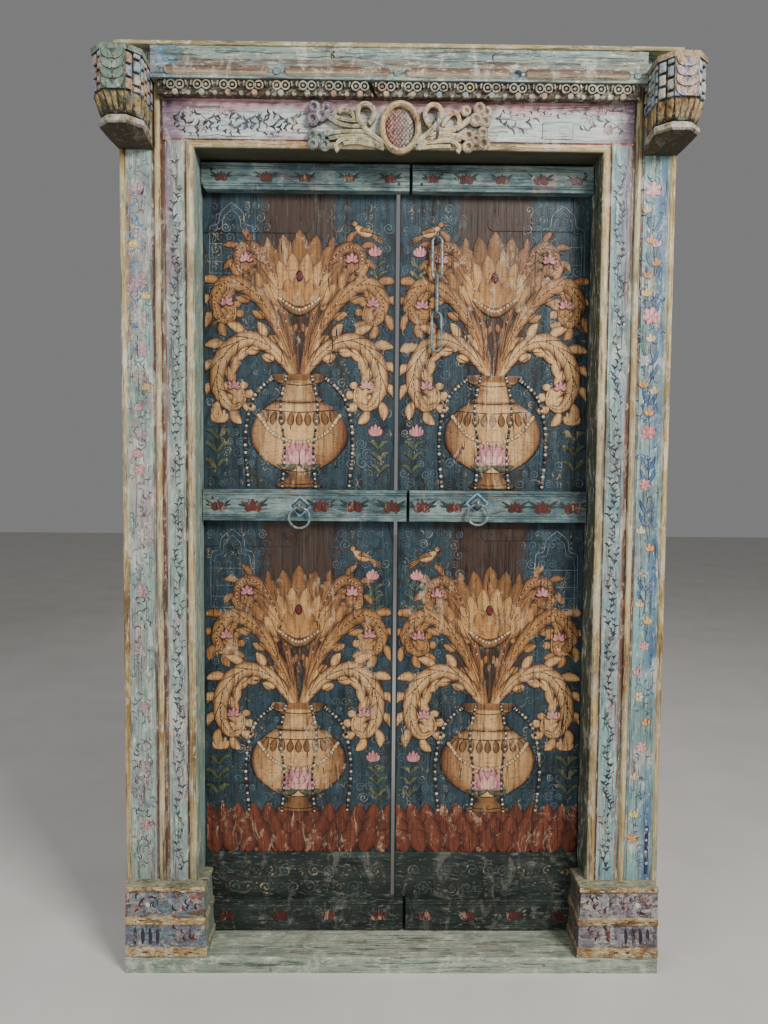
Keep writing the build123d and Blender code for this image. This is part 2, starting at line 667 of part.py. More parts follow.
# Each stem is its width, its rise and the points of its middle line: distance out from the
# medallion's middle, and height above it. The two sides were carved by eye and differ.
LEFT_STEMS = (
    (LOOP_WIDTH, LOOP_RISE, ((36, -36), (52, -24), (72, -9), (88, 10), (95, 30), (90, 45), (78, 50),
                             (66, 46), (59, 34), (63, 17), (70, 8))),
    (REED_WIDTH, REED_RISE, ((80, 6), (124, 5), (162, 24))),
    (REED_WIDTH, REED_RISE - 2, ((92, 16), (130, 19), (165, 33))),
    (REED_WIDTH, REED_RISE, ((102, 18), (110, 32), (124, 38), (138, 31))),
    (REED_WIDTH, REED_RISE, ((56, -22), (80, -9), (103, -8), (130, -9), (156, -14))),
    (REED_WIDTH, REED_RISE - 2, ((48, -30), (76, -19), (103, -17), (130, -19), (160, -24))),
    (REED_WIDTH + 1, REED_RISE + 2, ((38, -42), (70, -29), (103, -25), (131, -28), (143, -41), (138, -52))),
    (REED_WIDTH - 1, REED_RISE, ((36, -46), (75, -36), (103, -33), (126, -36))),
)
RIGHT_STEMS = (
    (LOOP_WIDTH, LOOP_RISE, ((36, -36), (54, -18), (76, 2), (87, 18), (91, 32), (86, 45), (75, 50),
                             (63, 46), (55, 32), (58, 17), (68, 4))),
    (REED_WIDTH + 5, REED_RISE, ((80, 0), (116, -2), (138, 9), (155, 24))),
    (REED_WIDTH, REED_RISE, ((96, 4), (108, 26), (122, 34), (131, 22), (128, 8))),
    (REED_WIDTH, REED_RISE, ((44, -24), (70, -13), (100, -13), (126, -15), (150, -24))),
    (REED_WIDTH, REED_RISE - 2, ((42, -32), (72, -22), (104, -20), (136, -24))),
    (REED_WIDTH + 1, REED_RISE + 2, ((34, -44), (58, -32), (90, -28), (118, -29), (131, -40), (128, -52))),
    (REED_WIDTH - 1, REED_RISE, ((40, -44), (75, -40), (112, -39))),
)
# Each petal is the place of its middle and its radius, in the same measure.
LEFT_PETALS = (
    (192, 43, 14), (162, 43, 13), (195, 18, 15), (176, 26, 14), (168, 34, 8),
    (195, -17, 13), (194, -37, 12), (168, -39, 13), (163, -12, 9), (180, -23, 13))
RIGHT_PETALS = (
    (146, 38, 11), (176, 44, 14), (191, 37, 13), (169, 20, 15), (188, 17, 14),
    (152, -14, 13), (152, -39, 13), (184, -9, 13), (186, -31, 15), (168, -24, 12))


def stem(width, rise, points):
    """Strip of three reeds along a smooth line in the plane of the lintel's face."""
    path = Spline(*[(x, 0, z) for x, z in points])
    direction = path % 0
    outward = Vector(0, -1, 0)
    section_plane = Plane(origin=path @ 0, x_dir=outward.cross(direction), z_dir=direction)
    side = width / 2
    groove = width / 6
    shoulder = rise - side
    valley = rise - REED_GROOVE
    flank = (valley + shoulder) / 2 + REED_GROOVE
    section = outline(
        (-side, 0), (side, 0), (side, shoulder), ((side + groove) / 2, flank, groove, valley),
        (0, rise, -groove, valley), (-(side + groove) / 2, flank, -side, shoulder))
    return sweep(section_plane * section, path=path)


def petal(x, z, radius, rise):
    """Low round boss with a bevelled edge and a sunk middle."""
    boss = extrude(Plane.XZ * Pos(x, z) * Circle(radius), rise - radius / 4)
    boss += extrude(Plane.XZ.offset(rise - radius / 4) * Pos(x, z) * Circle(radius), radius / 4, taper=45)
    return boss - Pos(x, -rise, z) * Sphere(radius / 2)


def medallion():
    """Oval rim round a domed field."""
    rim = Ellipse(OVAL_HALF_WIDTH, OVAL_HALF_HEIGHT)
    field = Ellipse(OVAL_HALF_WIDTH - OVAL_RIM, OVAL_HALF_HEIGHT - OVAL_RIM)
    ring = extrude(Plane.XZ * (rim - field), OVAL_RISE)
    ring = chamfer(ring.faces().sort_by(Axis.Y)[0].edges(), OVAL_CHAMFER)
    dome = scale(Sphere(1), by=(OVAL_HALF_WIDTH - OVAL_RIM / 2, OVAL_DOME, OVAL_HALF_HEIGHT - OVAL_RIM / 2))
    half = block(-OVAL_HALF_WIDTH, OVAL_HALF_WIDTH, -2 * OVAL_DOME, 0, -OVAL_HALF_HEIGHT, OVAL_HALF_HEIGHT)
    return ring + (dome & half)


def crest_side(stems, petals):
    parts = [stem(width, rise, points) for width, rise, points in stems]
    for index, (x, z, radius) in enumerate(petals):
        parts.append(petal(x, z, radius, PETAL_RISE - index % 3))
    return parts


def crest():
    carving = medallion()
    carving += crest_side(RIGHT_STEMS, RIGHT_PETALS)
    carving += [left_of(part) for part in crest_side(LEFT_STEMS, LEFT_PETALS)]
    carving = Pos(CREST_CENTRE_X, 0, crest_z) * carving
    bead_room = BEAD_RISE + FIT
    carving -= block(-half_opening, half_opening, -bead_room, 0, soffit - OVAL_RIM * 2, jamb_top + FIT)
    return carving - staple_holes(LINTEL_STAPLE_WIRE / 2 + FIT, -2 * OVAL_RISE, 0)


# Leaf: hanging stile, boards, rails and kick board, drawn as the right leaf

def hanging_stile():
    """Stile with a round outer edge and the two pivots it turns on, cut from one plank."""
    thick_back = pivot_y + STILE_RADIUS
    shoulder = pivot_x - STILE_SHOULDER
    plan = outline(
        (stile_edge, leaf_front), (pivot_x, leaf_front),
        (pivot_x + STILE_RADIUS, pivot_y, pivot_x, thick_back),
        (shoulder, thick_back), (shoulder - STILE_RADIUS / 2, leaf_back), (stile_edge, leaf_back))
    plank = upright(plan, leaf_foot, leaf_head)
    plank += Pos(pivot_x, pivot_y, leaf_foot - FOOT_PIVOT_LENGTH / 2) * Cylinder(
        FOOT_PIVOT_DIAMETER / 2, FOOT_PIVOT_LENGTH)
    plank += Pos(pivot_x, pivot_y, leaf_head + HEAD_PIVOT_LENGTH / 2) * Cylinder(
        HEAD_PIVOT_DIAMETER / 2, HEAD_PIVOT_LENGTH)
    return plank


def face_boards(edge, holes):
    """Boards from the stile to the meeting edge."""
    width = (stile_edge - edge) / BOARDS_PER_LEAF
    boards = []
    for index in range(BOARDS_PER_LEAF):
        x1 = stile_edge - index * width
        board = block(x1 - width, x1, leaf_front, leaf_back, leaf_foot, leaf_head)
        for hole in holes:
            board -= hole
        boards.append(board)
    return boards


def rail(end, z, height, bare_end):
    """Rail with two quirk lines along each edge. What laps over the other leaf is relieved at the back."""
    bar = block(end, rail_outer, rail_front, leaf_front, z - height / 2, z + height / 2)
    for margin in RAIL_QUIRK_MARGINS:
        for side in (-1, 1):
            line_z = z + side * (height / 2 - margin)
            bar -= block(end, rail_outer, rail_front, rail_front + RAIL_QUIRK, line_z - 1, line_z + 1)
    if end < bare_end:
        bar -= block(end, bare_end, leaf_front - LAP_RELIEF, leaf_front, z - height / 2, z + height / 2)
    return bar


def kick_board(edge):
    """Low board above the bottom rail, with a sunk strip along its top."""
    top = kick_foot + KICK_HEIGHT
    board = block(edge, rail_outer, leaf_front - KICK_THICKNESS, leaf_front, kick_foot, top)
    sunk = leaf_front - KICK_THICKNESS + KICK_STRIP_SINK
    return board - block(edge, rail_outer, leaf_front - KICK_THICKNESS, sunk, top - KICK_STRIP, top)


def strap(z, width, length):
    """Flat iron strap with a rounded free end."""
    shape = Pos(rail_outer - length / 2, z) * Rectangle(length, width)
    strip = facing(shape, leaf_front, leaf_front - STRAP_THICKNESS)
    corners = strip.edges().filter_by(Axis.Y).sort_by(Axis.X)[:2]
    return fillet(corners, width * STRAP_END_ROUND)


# Ring pull: diamond plate, split eye clenched behind the leaf, and the ring

def shank_hole(x, z):
    return pin_y(SHANK_DIAMETER / 2 + FIT, x, z, 0, leaf_back + PAST)


def ring_plate(x, z):
    y_front = rail_front - PLATE_THICKNESS
    shape = Pos(x, z) * Rot(0, 0, 45) * Rectangle(PLATE_SIDE, PLATE_SIDE)
    return facing(shape, rail_front, y_front) - shank_hole(x, z)


def eye_staple(x, z, eye_y, radius):
    """Eye bent from bar, its shank through the wood and its ends clenched on the back."""
    eye = Pos(x, eye_y, z) * Rot(0, 90, 0) * Torus(radius, EYE_WIRE / 2)
    shank = pin_y(SHANK_DIAMETER / 2, x, z, eye_y + radius, leaf_back + CLENCH_THICKNESS)
    clench = Pos(x, leaf_back + CLENCH_THICKNESS / 2, z) * Box(
        SHANK_DIAMETER, CLENCH_THICKNESS, CLENCH_LENGTH)
    return eye + shank + clench


def ring(x, eye_z):
    """Pull ring hanging in the eye, parallel to the rail."""
    return Pos(x, ring_eye_y, eye_z - ring_drop - ring_radius) * Rot(90, 0, 0) * Torus(ring_radius, RING_WIRE / 2)


# Chain

def chain_link(top_wire_z, length, turn):
    """Long link whose upper wire's middle is at the given height."""
    straight = length - LINK_WIDTH
    half = straight / 2
    path = Line((link_radius, 0, -half), (link_radius, 0, half))
    path += ThreePointArc((link_radius, 0, half), (0, 0, half + link_radius), (-link_radius, 0, half))
    path += Line((-link_radius, 0, half), (-link_radius, 0, -half))
    path += ThreePointArc((-link_radius, 0, -half), (0, 0, -half - link_radius), (link_radius, 0, -half))
    section = Pos(link_radius, 0, -half) * Circle(LINK_WIRE / 2)
    link = sweep(section, path=path)
    return Pos(chain_x, chain_y, top_wire_z - half - link_radius) * Rot(0, 0, turn) * link


def chain_links():
    """Three links, each lying on the bottom wire of the one above and turned a quarter."""
    links = []
    top = chain_top_z
    for index, length in enumerate(LINK_LENGTHS):
        links.append(chain_link(top, length, QUARTER_TURN * (index % 2)))
        top = top - (length - LINK_WIRE) + link_step
    return links


# The whole door

def frame_parts():
    parts = {
        "threshold": threshold(),
        "lintel": lintel(),
        "lintel_patch": lintel_patch(),
        "lintel_staple": lintel_staple(),
        "header_beam": header_beam(),
        "frieze": frieze(),
        "cornice_board": cornice_board(),
        "cornice_cap": cornice_cap(),
        "cornice_bars": cornice_bars(),
        "cornice_buttons": cornice_buttons(),
        "crest": crest(),
    }
    pairs = {
        "inner_jamb": inner_jamb(),
        "pilaster": pilaster(),
        "capital": capital(),
        "plinth_inner": plinth(inner_footprint),
        "plinth_outer": plinth(outer_footprint),
    }
    for name, piece in pairs.items():
        parts[name + "_right"] = piece
        parts[name + "_left"] = left_of(piece)
    return parts


def leaf_parts(edge, rail_end, ring_out, ring_rise, straps, chained):
    """One leaf, drawn as the right one. edge and rail_end are where its boards and its rails stop."""
    ring_x = (stile_edge + edge) / 2 + ring_out
    eye_z = MIDDLE_RAIL_Z + ring_rise
    holes = [shank_hole(ring_x, eye_z)]
    if chained:
        holes.append(shank_hole(chain_x, chain_eye_z))
    boards = face_boards(edge, holes)
    parts = {"stile": hanging_stile(), "kick_board": kick_board(edge)}
    for index, board in enumerate(boards):
        parts[f"board_{index + 1}"] = board
    parts["top_rail"] = rail(rail_end, top_rail_z, TOP_RAIL_HEIGHT, edge)
    parts["middle_rail"] = rail(rail_end, MIDDLE_RAIL_Z, MIDDLE_RAIL_HEIGHT, edge) - holes[0]
    parts["bottom_rail"] = rail(rail_end, bottom_rail_z, BOTTOM_RAIL_HEIGHT, edge)
    starts = (soffit, MIDDLE_RAIL_Z, leaf_foot)
    for name, start, turn, (offset, width, length) in zip(STRAP_NAMES, starts, (-1, -1, 1), straps):
        parts[f"{name}_strap"] = strap(start + turn * offset, width, length)
    parts["ring_plate"] = ring_plate(ring_x, eye_z)
    parts["ring_staple"] = eye_staple(ring_x, eye_z, ring_eye_y, EYE_RADIUS)
    parts["ring"] = ring(ring_x, eye_z)
    return parts


def left_leaf_parts():
    """The left leaf, whose rails lap over the right one."""
    parts = leaf_parts(left_edge, left_rail_end, LEFT_RING_OUT, LEFT_RING_RISE, LEFT_STRAPS, False)
    bottom = top_rail_z - TOP_RAIL_HEIGHT / 2
    chip = outline((rail_outer, bottom), (rail_outer - CHIP_WIDTH, bottom), (rail_outer, bottom + CHIP_HEIGHT))
    parts["top_rail"] -= facing(chip, leaf_front, rail_front)
    return {name + "_left": left_of(piece) for name, piece in parts.items()}


def right_leaf_parts():
    parts = leaf_parts(right_edge, right_rail_end, RIGHT_RING_OUT, RIGHT_RING_RISE, RIGHT_STRAPS, True)
    return {name + "_right": piece for name, piece in parts.items()}


def chain_parts():
    parts = {"chain_staple": eye_staple(chain_x, chain_eye_z, chain_y, CHAIN_EYE_RADIUS)}
    for index, link in enumerate(chain_links()):
        parts[f"chain_link_{index + 1}"] = link
    return parts


os.makedirs("parts", exist_ok=True)
for part_name, part in {**frame_parts(), **left_leaf_parts(), **right_leaf_parts(), **chain_parts()}.items():
    part.label = part_name
    export_step(part, f"parts/{part_name}.step")
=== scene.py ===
import math
import random

import bmesh
import bpy
from mathutils import Matrix, Vector


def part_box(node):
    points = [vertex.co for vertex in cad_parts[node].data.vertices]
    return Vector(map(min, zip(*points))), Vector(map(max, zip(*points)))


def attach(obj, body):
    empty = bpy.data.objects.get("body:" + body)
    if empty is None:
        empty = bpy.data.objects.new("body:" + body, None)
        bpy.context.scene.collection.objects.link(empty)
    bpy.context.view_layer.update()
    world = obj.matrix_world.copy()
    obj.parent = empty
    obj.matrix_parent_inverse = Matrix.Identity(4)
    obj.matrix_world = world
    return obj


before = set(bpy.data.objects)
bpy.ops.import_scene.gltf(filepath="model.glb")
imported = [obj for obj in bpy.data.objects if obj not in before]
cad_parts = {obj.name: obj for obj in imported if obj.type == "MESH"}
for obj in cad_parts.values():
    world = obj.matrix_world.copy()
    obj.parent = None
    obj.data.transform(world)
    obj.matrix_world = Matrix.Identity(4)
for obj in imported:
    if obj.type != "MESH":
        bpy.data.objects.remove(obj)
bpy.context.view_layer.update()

# Looks of a carved and painted double door in its timber frame.
# Places in the drawing code are millimetres in X and Z of the shared frame, and MM turns them into metres.
MM = 0.001
SMALLEST = 0.00001
SIDES = {"left": -1, "right": 1}
chance = random.Random(11)
between = chance.uniform


def face_y(node):
    """Front face of a CAD node, in millimetres."""
    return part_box(node)[0].y / MM


def span(node):
    """Lowest and highest X and Z of a CAD node, in millimetres."""
    low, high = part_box(node)
    return low.x / MM, high.x / MM, low.z / MM, high.z / MM


LEAF_FACE = face_y("board_2_left")
RAIL_FACE = face_y("middle_rail_left")
HALF_OPENING = -span("bottom_rail_left")[0] + 2
SOFFIT = span("lintel")[2]
LINTEL_TOP = span("lintel")[3]
PLINTH_TOP = span("plinth_inner_left")[3]


def new_object(name, data):
    """Object in the scene for a mesh, a lamp or a camera."""
    thing = bpy.data.objects.new(name, data)
    bpy.context.scene.collection.objects.link(thing)
    return thing


# Colours

def rgb(red, green, blue):
    """Linear colour from sRGB values of 0 to 255."""
    values = []
    for level in (red, green, blue):
        share = level / 255
        values.append(share / 12.92 if share <= 0.04045 else ((share + 0.055) / 1.055) ** 2.4)
    return (*values, 1.0)


def blend(first, second, share):
    return tuple(a + (b - a) * share for a, b in zip(first, second))


OCHRE_LIGHT = rgb(224, 180, 122)
OCHRE = rgb(186, 136, 80)
OCHRE_DEEP = rgb(124, 78, 44)
BROWN = rgb(84, 52, 34)
LINE = rgb(28, 17, 13)
GOLD_LIGHT = rgb(150, 104, 60)
GOLD = rgb(108, 72, 44)
GOLD_DEEP = rgb(60, 38, 26)
CREAM = rgb(214, 194, 156)
CRIMSON = rgb(116, 32, 42)
ROSE = rgb(178, 96, 100)
PINK = rgb(214, 148, 152)
MAROON = rgb(74, 22, 26)
TERRACOTTA_DEEP = rgb(62, 28, 20)
TERRACOTTA_LIGHT = rgb(122, 62, 42)
TEAL_DARK = rgb(10, 18, 22)
TEAL = rgb(44, 76, 84)
SKY = rgb(132, 174, 200)
BLUE = rgb(58, 98, 142)
BLUE_DEEP = rgb(34, 56, 92)
SLATE = rgb(66, 78, 86)
INK = rgb(22, 26, 30)
LEAF_GREEN = rgb(44, 62, 50)
YELLOW = rgb(224, 196, 96)
ORANGE = rgb(206, 120, 66)
PEARL = rgb(214, 206, 186)


# Curves in the plane of a face

def smooth(points, count):
    """Points evenly spread over a curve that runs through the given ones."""
    ends = [points[0]] + list(points) + [points[-1]]
    spans = len(points) - 1
    places = []
    for index in range(count):
        position = index / (count - 1) * spans
        piece = min(int(position), spans - 1)
        t = position - piece
        places.append(tuple(
            0.5 * (2 * b + (c - a) * t + (2 * a - 5 * b + 4 * c - d) * t * t
                   + (3 * b - a - 3 * c + d) * t ** 3)
            for a, b, c, d in zip(*ends[piece:piece + 4])))
    return places


def normals(places):
    """Unit normals of a curve, to its left."""
    found = []
    last = len(places) - 1
    for index in range(len(places)):
        before = places[max(index - 1, 0)]
        after = places[min(index + 1, last)]
        dx = after[0] - before[0]
        dz = after[1] - before[1]
        length = math.hypot(dx, dz) or 1.0
        found.append((-dz / length, dx / length))
    return found


def spiral(x, z, radius, turns, start, hand=1, count=22):
    """Points of a spiral that winds inwards."""
    places = []
    for index in range(count):
        t = index / (count - 1)
        angle = start + hand * turns * 2 * math.pi * t
        reach = radius * (1 - t) ** 0.8
        places.append((x + reach * math.cos(angle), z + reach * math.sin(angle)))
    return places


# Marks: painted or carved shapes with their own relief

# Height of one layer over the next, in millimetres, and the share of the relief that stays behind the chain
LAYER = 0.45
LOW_RELIEF = 0.2


def inside(field, x, z):
    """Whether a place lies in a field of X and Z limits."""
    x0, x1, z0, z1 = field
    return x0 < x < x1 and z0 < z < z1


class Marks:
    """Painted and carved marks gathered in one mesh. ground gives the Y of the surface under a place."""

    def __init__(self, ground, shift=(0.0, 0.0), side=1):
        self.ground = ground
        self.shift = shift
        self.side = side
        self.limits = None
        self.low_field = None
        self.vertices = []
        self.colours = []
        self.faces = []

    def at(self, shift, side=1):
        """Draws what follows from another origin, mirrored where side is -1."""
        self.shift = shift
        self.side = side
        return self

    def row(self, points):
        """Adds points, each a place with its lift and colour, and gives the number of the first."""
        first = len(self.vertices)
        for u, v, lift, colour in points:
            x = self.shift[0] + self.side * u
            z = self.shift[1] + v
            if self.limits:
                x = min(max(x, self.limits[0]), self.limits[1])
            if self.low_field and lift > 0 and inside(self.low_field, x, z):
                lift *= LOW_RELIEF
            self.vertices.append((x * MM, (self.ground(x, z) - lift) * MM, z * MM))
            self.colours.append(colour)
        return first

    def grid(self, rows):
        """Faces between rows of points."""
        starts = [self.row(points) for points in rows]
        for start, following in zip(starts, starts[1:]):
            for column in range(len(rows[0]) - 1):
                self.faces.append((start + column, start + column + 1, following + column + 1,
                                   following + column))

    def blade(self, spine, half, tones, layer=0, profile=None, count=18, relief=0.5, line=1.1, lobes=0,
              depth=0.2):
        """Leaf, petal or band along a spine: dark outline, shaded flanks and a light middle."""
        edge, shade, light = tones
        shape = profile or leaf_profile
        places = smooth(spine, count)
        rows = []
        for index, ((u, v), (nu, nv)) in enumerate(zip(places, normals(places))):
            t = index / (count - 1)
            width = max(half * shape(t) * (1 - depth * abs(math.sin(math.pi * lobes * t))), 0.05)
            rim = max(1 - line / width, 0.25)
            base = layer * LAYER
            columns = (
                (-1.0, base - 0.5, edge), (-(1 + rim) / 2, base + 0.1, edge), (-rim, base + 0.2, shade),
                (-rim * 0.55, base + relief, blend(shade, light, 0.7)), (0.0, base + relief * 1.2, light),
                (rim * 0.55, base + relief, blend(shade, light, 0.75)), (rim, base + 0.2, shade),
                ((1 + rim) / 2, base + 0.1, edge), (1.0, base - 0.5, edge))
            rows.append([(u + nu * width * c, v + nv * width * c, lift, colour)
                         for c, lift, colour in columns])
        self.grid(rows)

    def stroke(self, points, width, colour, layer=0, count=None, taper=0.0, edge=None, lift=0.35):
        """Painted line, or a low ridge, that thins towards its ends by the share taper."""
        count = count or max(2 * len(points), 4)
        places = smooth(points, count)
        rows = []
        for index, ((u, v), (nu, nv)) in enumerate(zip(places, normals(places))):
            t = index / (count - 1)
            half = width / 2 * (1 - taper + taper * math.sin(math.pi * min(max(t, 0.04), 0.96)))
            base = layer * LAYER
            side = edge or colour
            rows.append([
                (u - nu * half, v - nv * half, base - 0.1, side), (u, v, base + lift, colour),
                (u + nu * half, v + nv * half, base - 0.1, side)])
        self.grid(rows)

    def disc(self, u, v, radius, colour, layer=0, rim=None, sides=9, dome=0.6, flat=1.0, turn=0.0):
        """Round or oval boss."""
        base = layer * LAYER
        rings = ((1.0, base - 0.4, rim or colour), (0.82, base + dome * 0.6, rim or colour),
                 (0.6, base + dome, colour))
        starts = []
        for share, lift, tone in rings:
            ring = []
            for index in range(sides):
                angle = 2 * math.pi * index / sides
                a = radius * share * math.cos(angle)
                b = radius * share * flat * math.sin(angle)
                ring.append((u + a * math.cos(turn) - b * math.sin(turn),
                             v + a * math.sin(turn) + b * math.cos(turn), lift, tone))
            starts.append(self.row(ring))
        for start, following in zip(starts, starts[1:]):
            for index in range(sides):
                after = (index + 1) % sides
                self.faces.append((start + index, start + after, following + after, following + index))
        self.faces.append(tuple(starts[-1] + index for index in range(sides)))

    def beads(self, points, radius, colours, layer, count, dot=None):
        """String of beads along a curve."""
        for index, (u, v) in enumerate(smooth(points, count)):
            colour = colours[index % len(colours)]
            size = radius * between(0.85, 1.12)
            self.disc(u, v, size, colour, layer, rim=blend(colour, LINE, 0.75), sides=8)
            if dot:
                self.disc(u - 0.2 * size, v + 0.25 * size, size * 0.35, dot, layer + 1.2, sides=5, dome=0.3)

    def piece(self, name, body, finish, slot):
        """The mesh itself, with its colours, riding on a body."""
        mesh = bpy.data.meshes.new(name)
        mesh.from_pydata(self.vertices, [], self.faces)
        attribute = mesh.color_attributes.new("paint", "FLOAT_COLOR", "POINT")
        for index, colour in enumerate(self.colours):
            attribute.data[index].color = colour
        form = bmesh.new()
        form.from_mesh(mesh)
        bmesh.ops.dissolve_degenerate(form, dist=SMALLEST, edges=form.edges)
        for face in form.faces:
            face.smooth = True
            if face.normal.y > 0:
                face.normal_flip()
        form.to_mesh(mesh)
        form.free()
        mesh.materials.append(finish)
        piece = new_object(name, mesh)
        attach(piece, body)


def leaf_profile(t):
    return math.sin(math.pi * min(t * 0.92 + 0.06, 1.0)) ** 0.75


def petal_profile(t):
    return math.sin(math.pi * min(0.04 + 0.96 * t ** 1.25, 1.0)) ** 0.8


def curl_profile(t):
    return (0.32 + 0.68 * math.sin(math.pi * min(1.3 * t + 0.05, 1.0))) * (1 - t ** 6)


OCHRE_TONES = (LINE, OCHRE_DEEP, OCHRE_LIGHT)
WARM_TONES = (LINE, rgb(108, 68, 40), OCHRE)
BROWN_TONES = (LINE, rgb(76, 46, 30), rgb(158, 110, 68))
GOLD_TONES = (LINE, GOLD_DEEP, GOLD_LIGHT)
CRIMSON_TONES = (rgb(50, 14, 20), CRIMSON, PINK)
TERRACOTTA_TONES = (rgb(34, 12, 10), TERRACOTTA_DEEP, TERRACOTTA_LIGHT)
GREEN_TONES = (INK, rgb(36, 52, 44), rgb(84, 98, 70))


def fan(marks, u, v, length, half, spread, petals, tones, layer, lift_step=0.12, relief=0.5, tilt=0.0):
    """Petals of a bloom, the outer ones first and the middle one last."""
    order = sorted(range(petals), key=lambda index: -abs(index - (petals - 1) / 2))
    for place, index in enumerate(order):
        share = index / (petals - 1) * 2 - 1 if petals > 1 else 0.0
        angle = math.radians(90 + tilt - share * spread)
        reach = length * (1 - 0.22 * abs(share))
        bend = share * 0.16 * reach
        tip = (u + reach * math.cos(angle), v + reach * math.sin(angle))
        middle = (u + 0.5 * reach * math.cos(angle) + bend * math.sin(angle),
                  v + 0.5 * reach * math.sin(angle) - abs(bend) * 0.6)
        marks.blade([(u, v), middle, tip], half, tones, layer + place * lift_step, petal_profile, 12, relief)


# Painting of one panel: a vase with leaves and a lotus

# Half the width of a panel, and how far up the petals under the lower vase reach
PANEL_HALF = 223.0
PETAL_BASE = 96

# Half width, layer step and spine of each curling leaf
CURLS = (
    (37, 2, (10, 262), (62, 330), (128, 352), (180, 306), (192, 238), (164, 192), (132, 206), (136, 236),
     (158, 238)),
    (33, 3, (8, 268), (46, 372), (104, 456), (166, 486), (200, 440), (184, 396), (152, 402), (154, 430),
     (172, 432)),
    (27, 4, (6, 272), (30, 392), (58, 500), (100, 566), (142, 560), (146, 516), (120, 506), (112, 528),
     (126, 538)))
# Heights up the vase, each with half the width there
VASE = ((0, 50), (5, 56), (14, 50), (24, 30), (34, 27), (44, 46), (66, 84), (96, 110), (128, 118), (160, 110),
        (186, 88), (206, 60), (222, 42), (236, 38), (248, 48), (258, 66), (266, 70), (272, 62))


def vase(marks, layer):
    """Body of the vase, lighter towards its middle and darker on its foot, shoulder line and lip."""
    rows = []
    count = 40
    heights = smooth(VASE, count)
    columns = (-1.0, -0.975, -0.9, -0.68, -0.38, -0.08, 0.22, 0.5, 0.74, 0.9, 0.975, 1.0)
    for index, (v, half) in enumerate(heights):
        end = index in (0, count - 1)
        row = []
        for share in columns:
            glow = 1 - abs(share + 0.08) ** 1.6
            colour = blend(OCHRE_DEEP, OCHRE_LIGHT, max(glow, 0))
            if abs(share) > 0.94 or end:
                colour = LINE
            elif v < 40 or 196 < v < 206 or v > 256:
                colour = blend(GOLD_DEEP, GOLD_LIGHT, max(glow, 0))
            lift = layer * LAYER - 0.5 if abs(share) == 1.0 or end else layer * LAYER + 0.3 + 1.0 * glow
            row.append((share * half, v, lift, colour))
        rows.append(row)
    marks.grid(rows)


def vase_ornament(marks, layer):
    """Bands, a collar of petals, a string of beads and a lotus on the vase."""
    for v, half in ((14, 50), (44, 46), (186, 86), (208, 60), (250, 50)):
        marks.stroke([(-half, v), (0, v - 6), (half, v)], 2.0, LINE, layer + 3, 12)
    for index in range(9):
        share = index / 4 - 1
        u = share * 74
        v = 184 - 5 * (1 - share * share)
        marks.blade([(u, v), (u * 1.1, v - 16), (u * 1.14, v - 32)], 9, GOLD_TONES, layer + 3, petal_profile,
                    8, 0.3)
    marks.beads([(-96, 172), (-60, 128), (0, 108), (60, 128), (96, 172)],
                5.2, (OCHRE_LIGHT, CREAM), layer + 4, 30, CREAM)
    fan(marks, 0, 60, 56, 12, 76, 9, CRIMSON_TONES, layer + 3)
    fan(marks, 0, 58, 40, 10, 44, 4, (rgb(90, 26, 34), ROSE, rgb(240, 190, 180)), layer + 5)
    for side in (-1, 1):
        marks.blade([(0, 58), (side * 24, 48), (side * 52, 56)], 8, GREEN_TONES, layer + 4)


def garlands(marks, layer):
    """Long strings of black and white beads, hung from the lip on both sides."""
    colours = (INK, PEARL, SLATE, PEARL, INK, rgb(120, 112, 100))
    for side in (-1, 1):
        outer = [(side * 62, 262), (side * 108, 214), (side * 128, 120), (side * 120, 6)]
        marks.beads(outer, 4.2, colours, layer + 3, 44)
        inner = [(side * 30, 268), (side * 44, 190), (side * 34, 90), (side * 40, 4)]
        marks.beads(inner, 3.6, colours, layer + 6, 44)


def leaflets(marks, path, half, tones, layer):
    """Pointed lobes that fan out from both edges of a curling leaf."""
    ways = normals(path)
    for place in range(4, 37, 3):
        t = place / (len(path) - 1)
        u, v = path[place]
        nu, nv = ways[place]
        reach = half * (0.35 + 0.95 * math.sin(math.pi * min(1.15 * t + 0.05, 1.0)))
        for turn in (-1, 1):
            tip = (u + nu * turn * reach + nv * reach * 0.75, v + nv * turn * reach - nu * reach * 0.75)
            middle = (u + nu * turn * reach * 0.62 + nv * reach * 0.2,
                      v + nv * turn * reach * 0.62 - nu * reach * 0.2)
            marks.blade([(u, v), middle, tip], half * 0.36, tones, layer, petal_profile, 10, 0.5, 1.8)


def curls(marks, layer):
    """Big curling leaves that rise from the mouth of the vase, the lowest pair in front."""
    for (half, step, *points), tones in zip(reversed(CURLS), (BROWN_TONES, WARM_TONES, OCHRE_TONES)):
        for side in (-1, 1):
            spine = [(side * (u + between(-3, 3)), v + between(-3, 3)) for u, v in points]
            path = smooth(spine, 40)
            leaflets(marks, path, half, tones, layer + 3 - step)
            marks.blade(spine, half * 0.62, tones, layer + 4 - step, curl_profile, 60, 0.7, 2.2, 12, 0.12)
            for place in range(6, 26, 3):
                u, v = path[place]
                back = path[place - 4]
                nu, nv = normals(path)[place]
                for turn in (-1, 1):
                    reach = half * 0.72 * turn
                    marks.stroke([back, ((u + back[0]) / 2 + nu * reach * 0.6,
                                         (v + back[1]) / 2 + nv * reach * 0.6),
                                  (u + nu * reach, v + nv * reach)], 2.0, blend(BROWN, LINE, 0.2),
                                 layer + 6.6 - step, 7, 0.8)
            marks.stroke(path[2:30], 2.6, BROWN, layer + 6.8 - step, 28, 0.5)
            marks.beads(path[5:27], 2.4, (CREAM, OCHRE_LIGHT), layer + 7.4 - step, 26)
            tip = path[-1]
            fan(marks, tip[0], tip[1], 20, 6, 80, 5, CRIMSON_TONES, layer + 6)


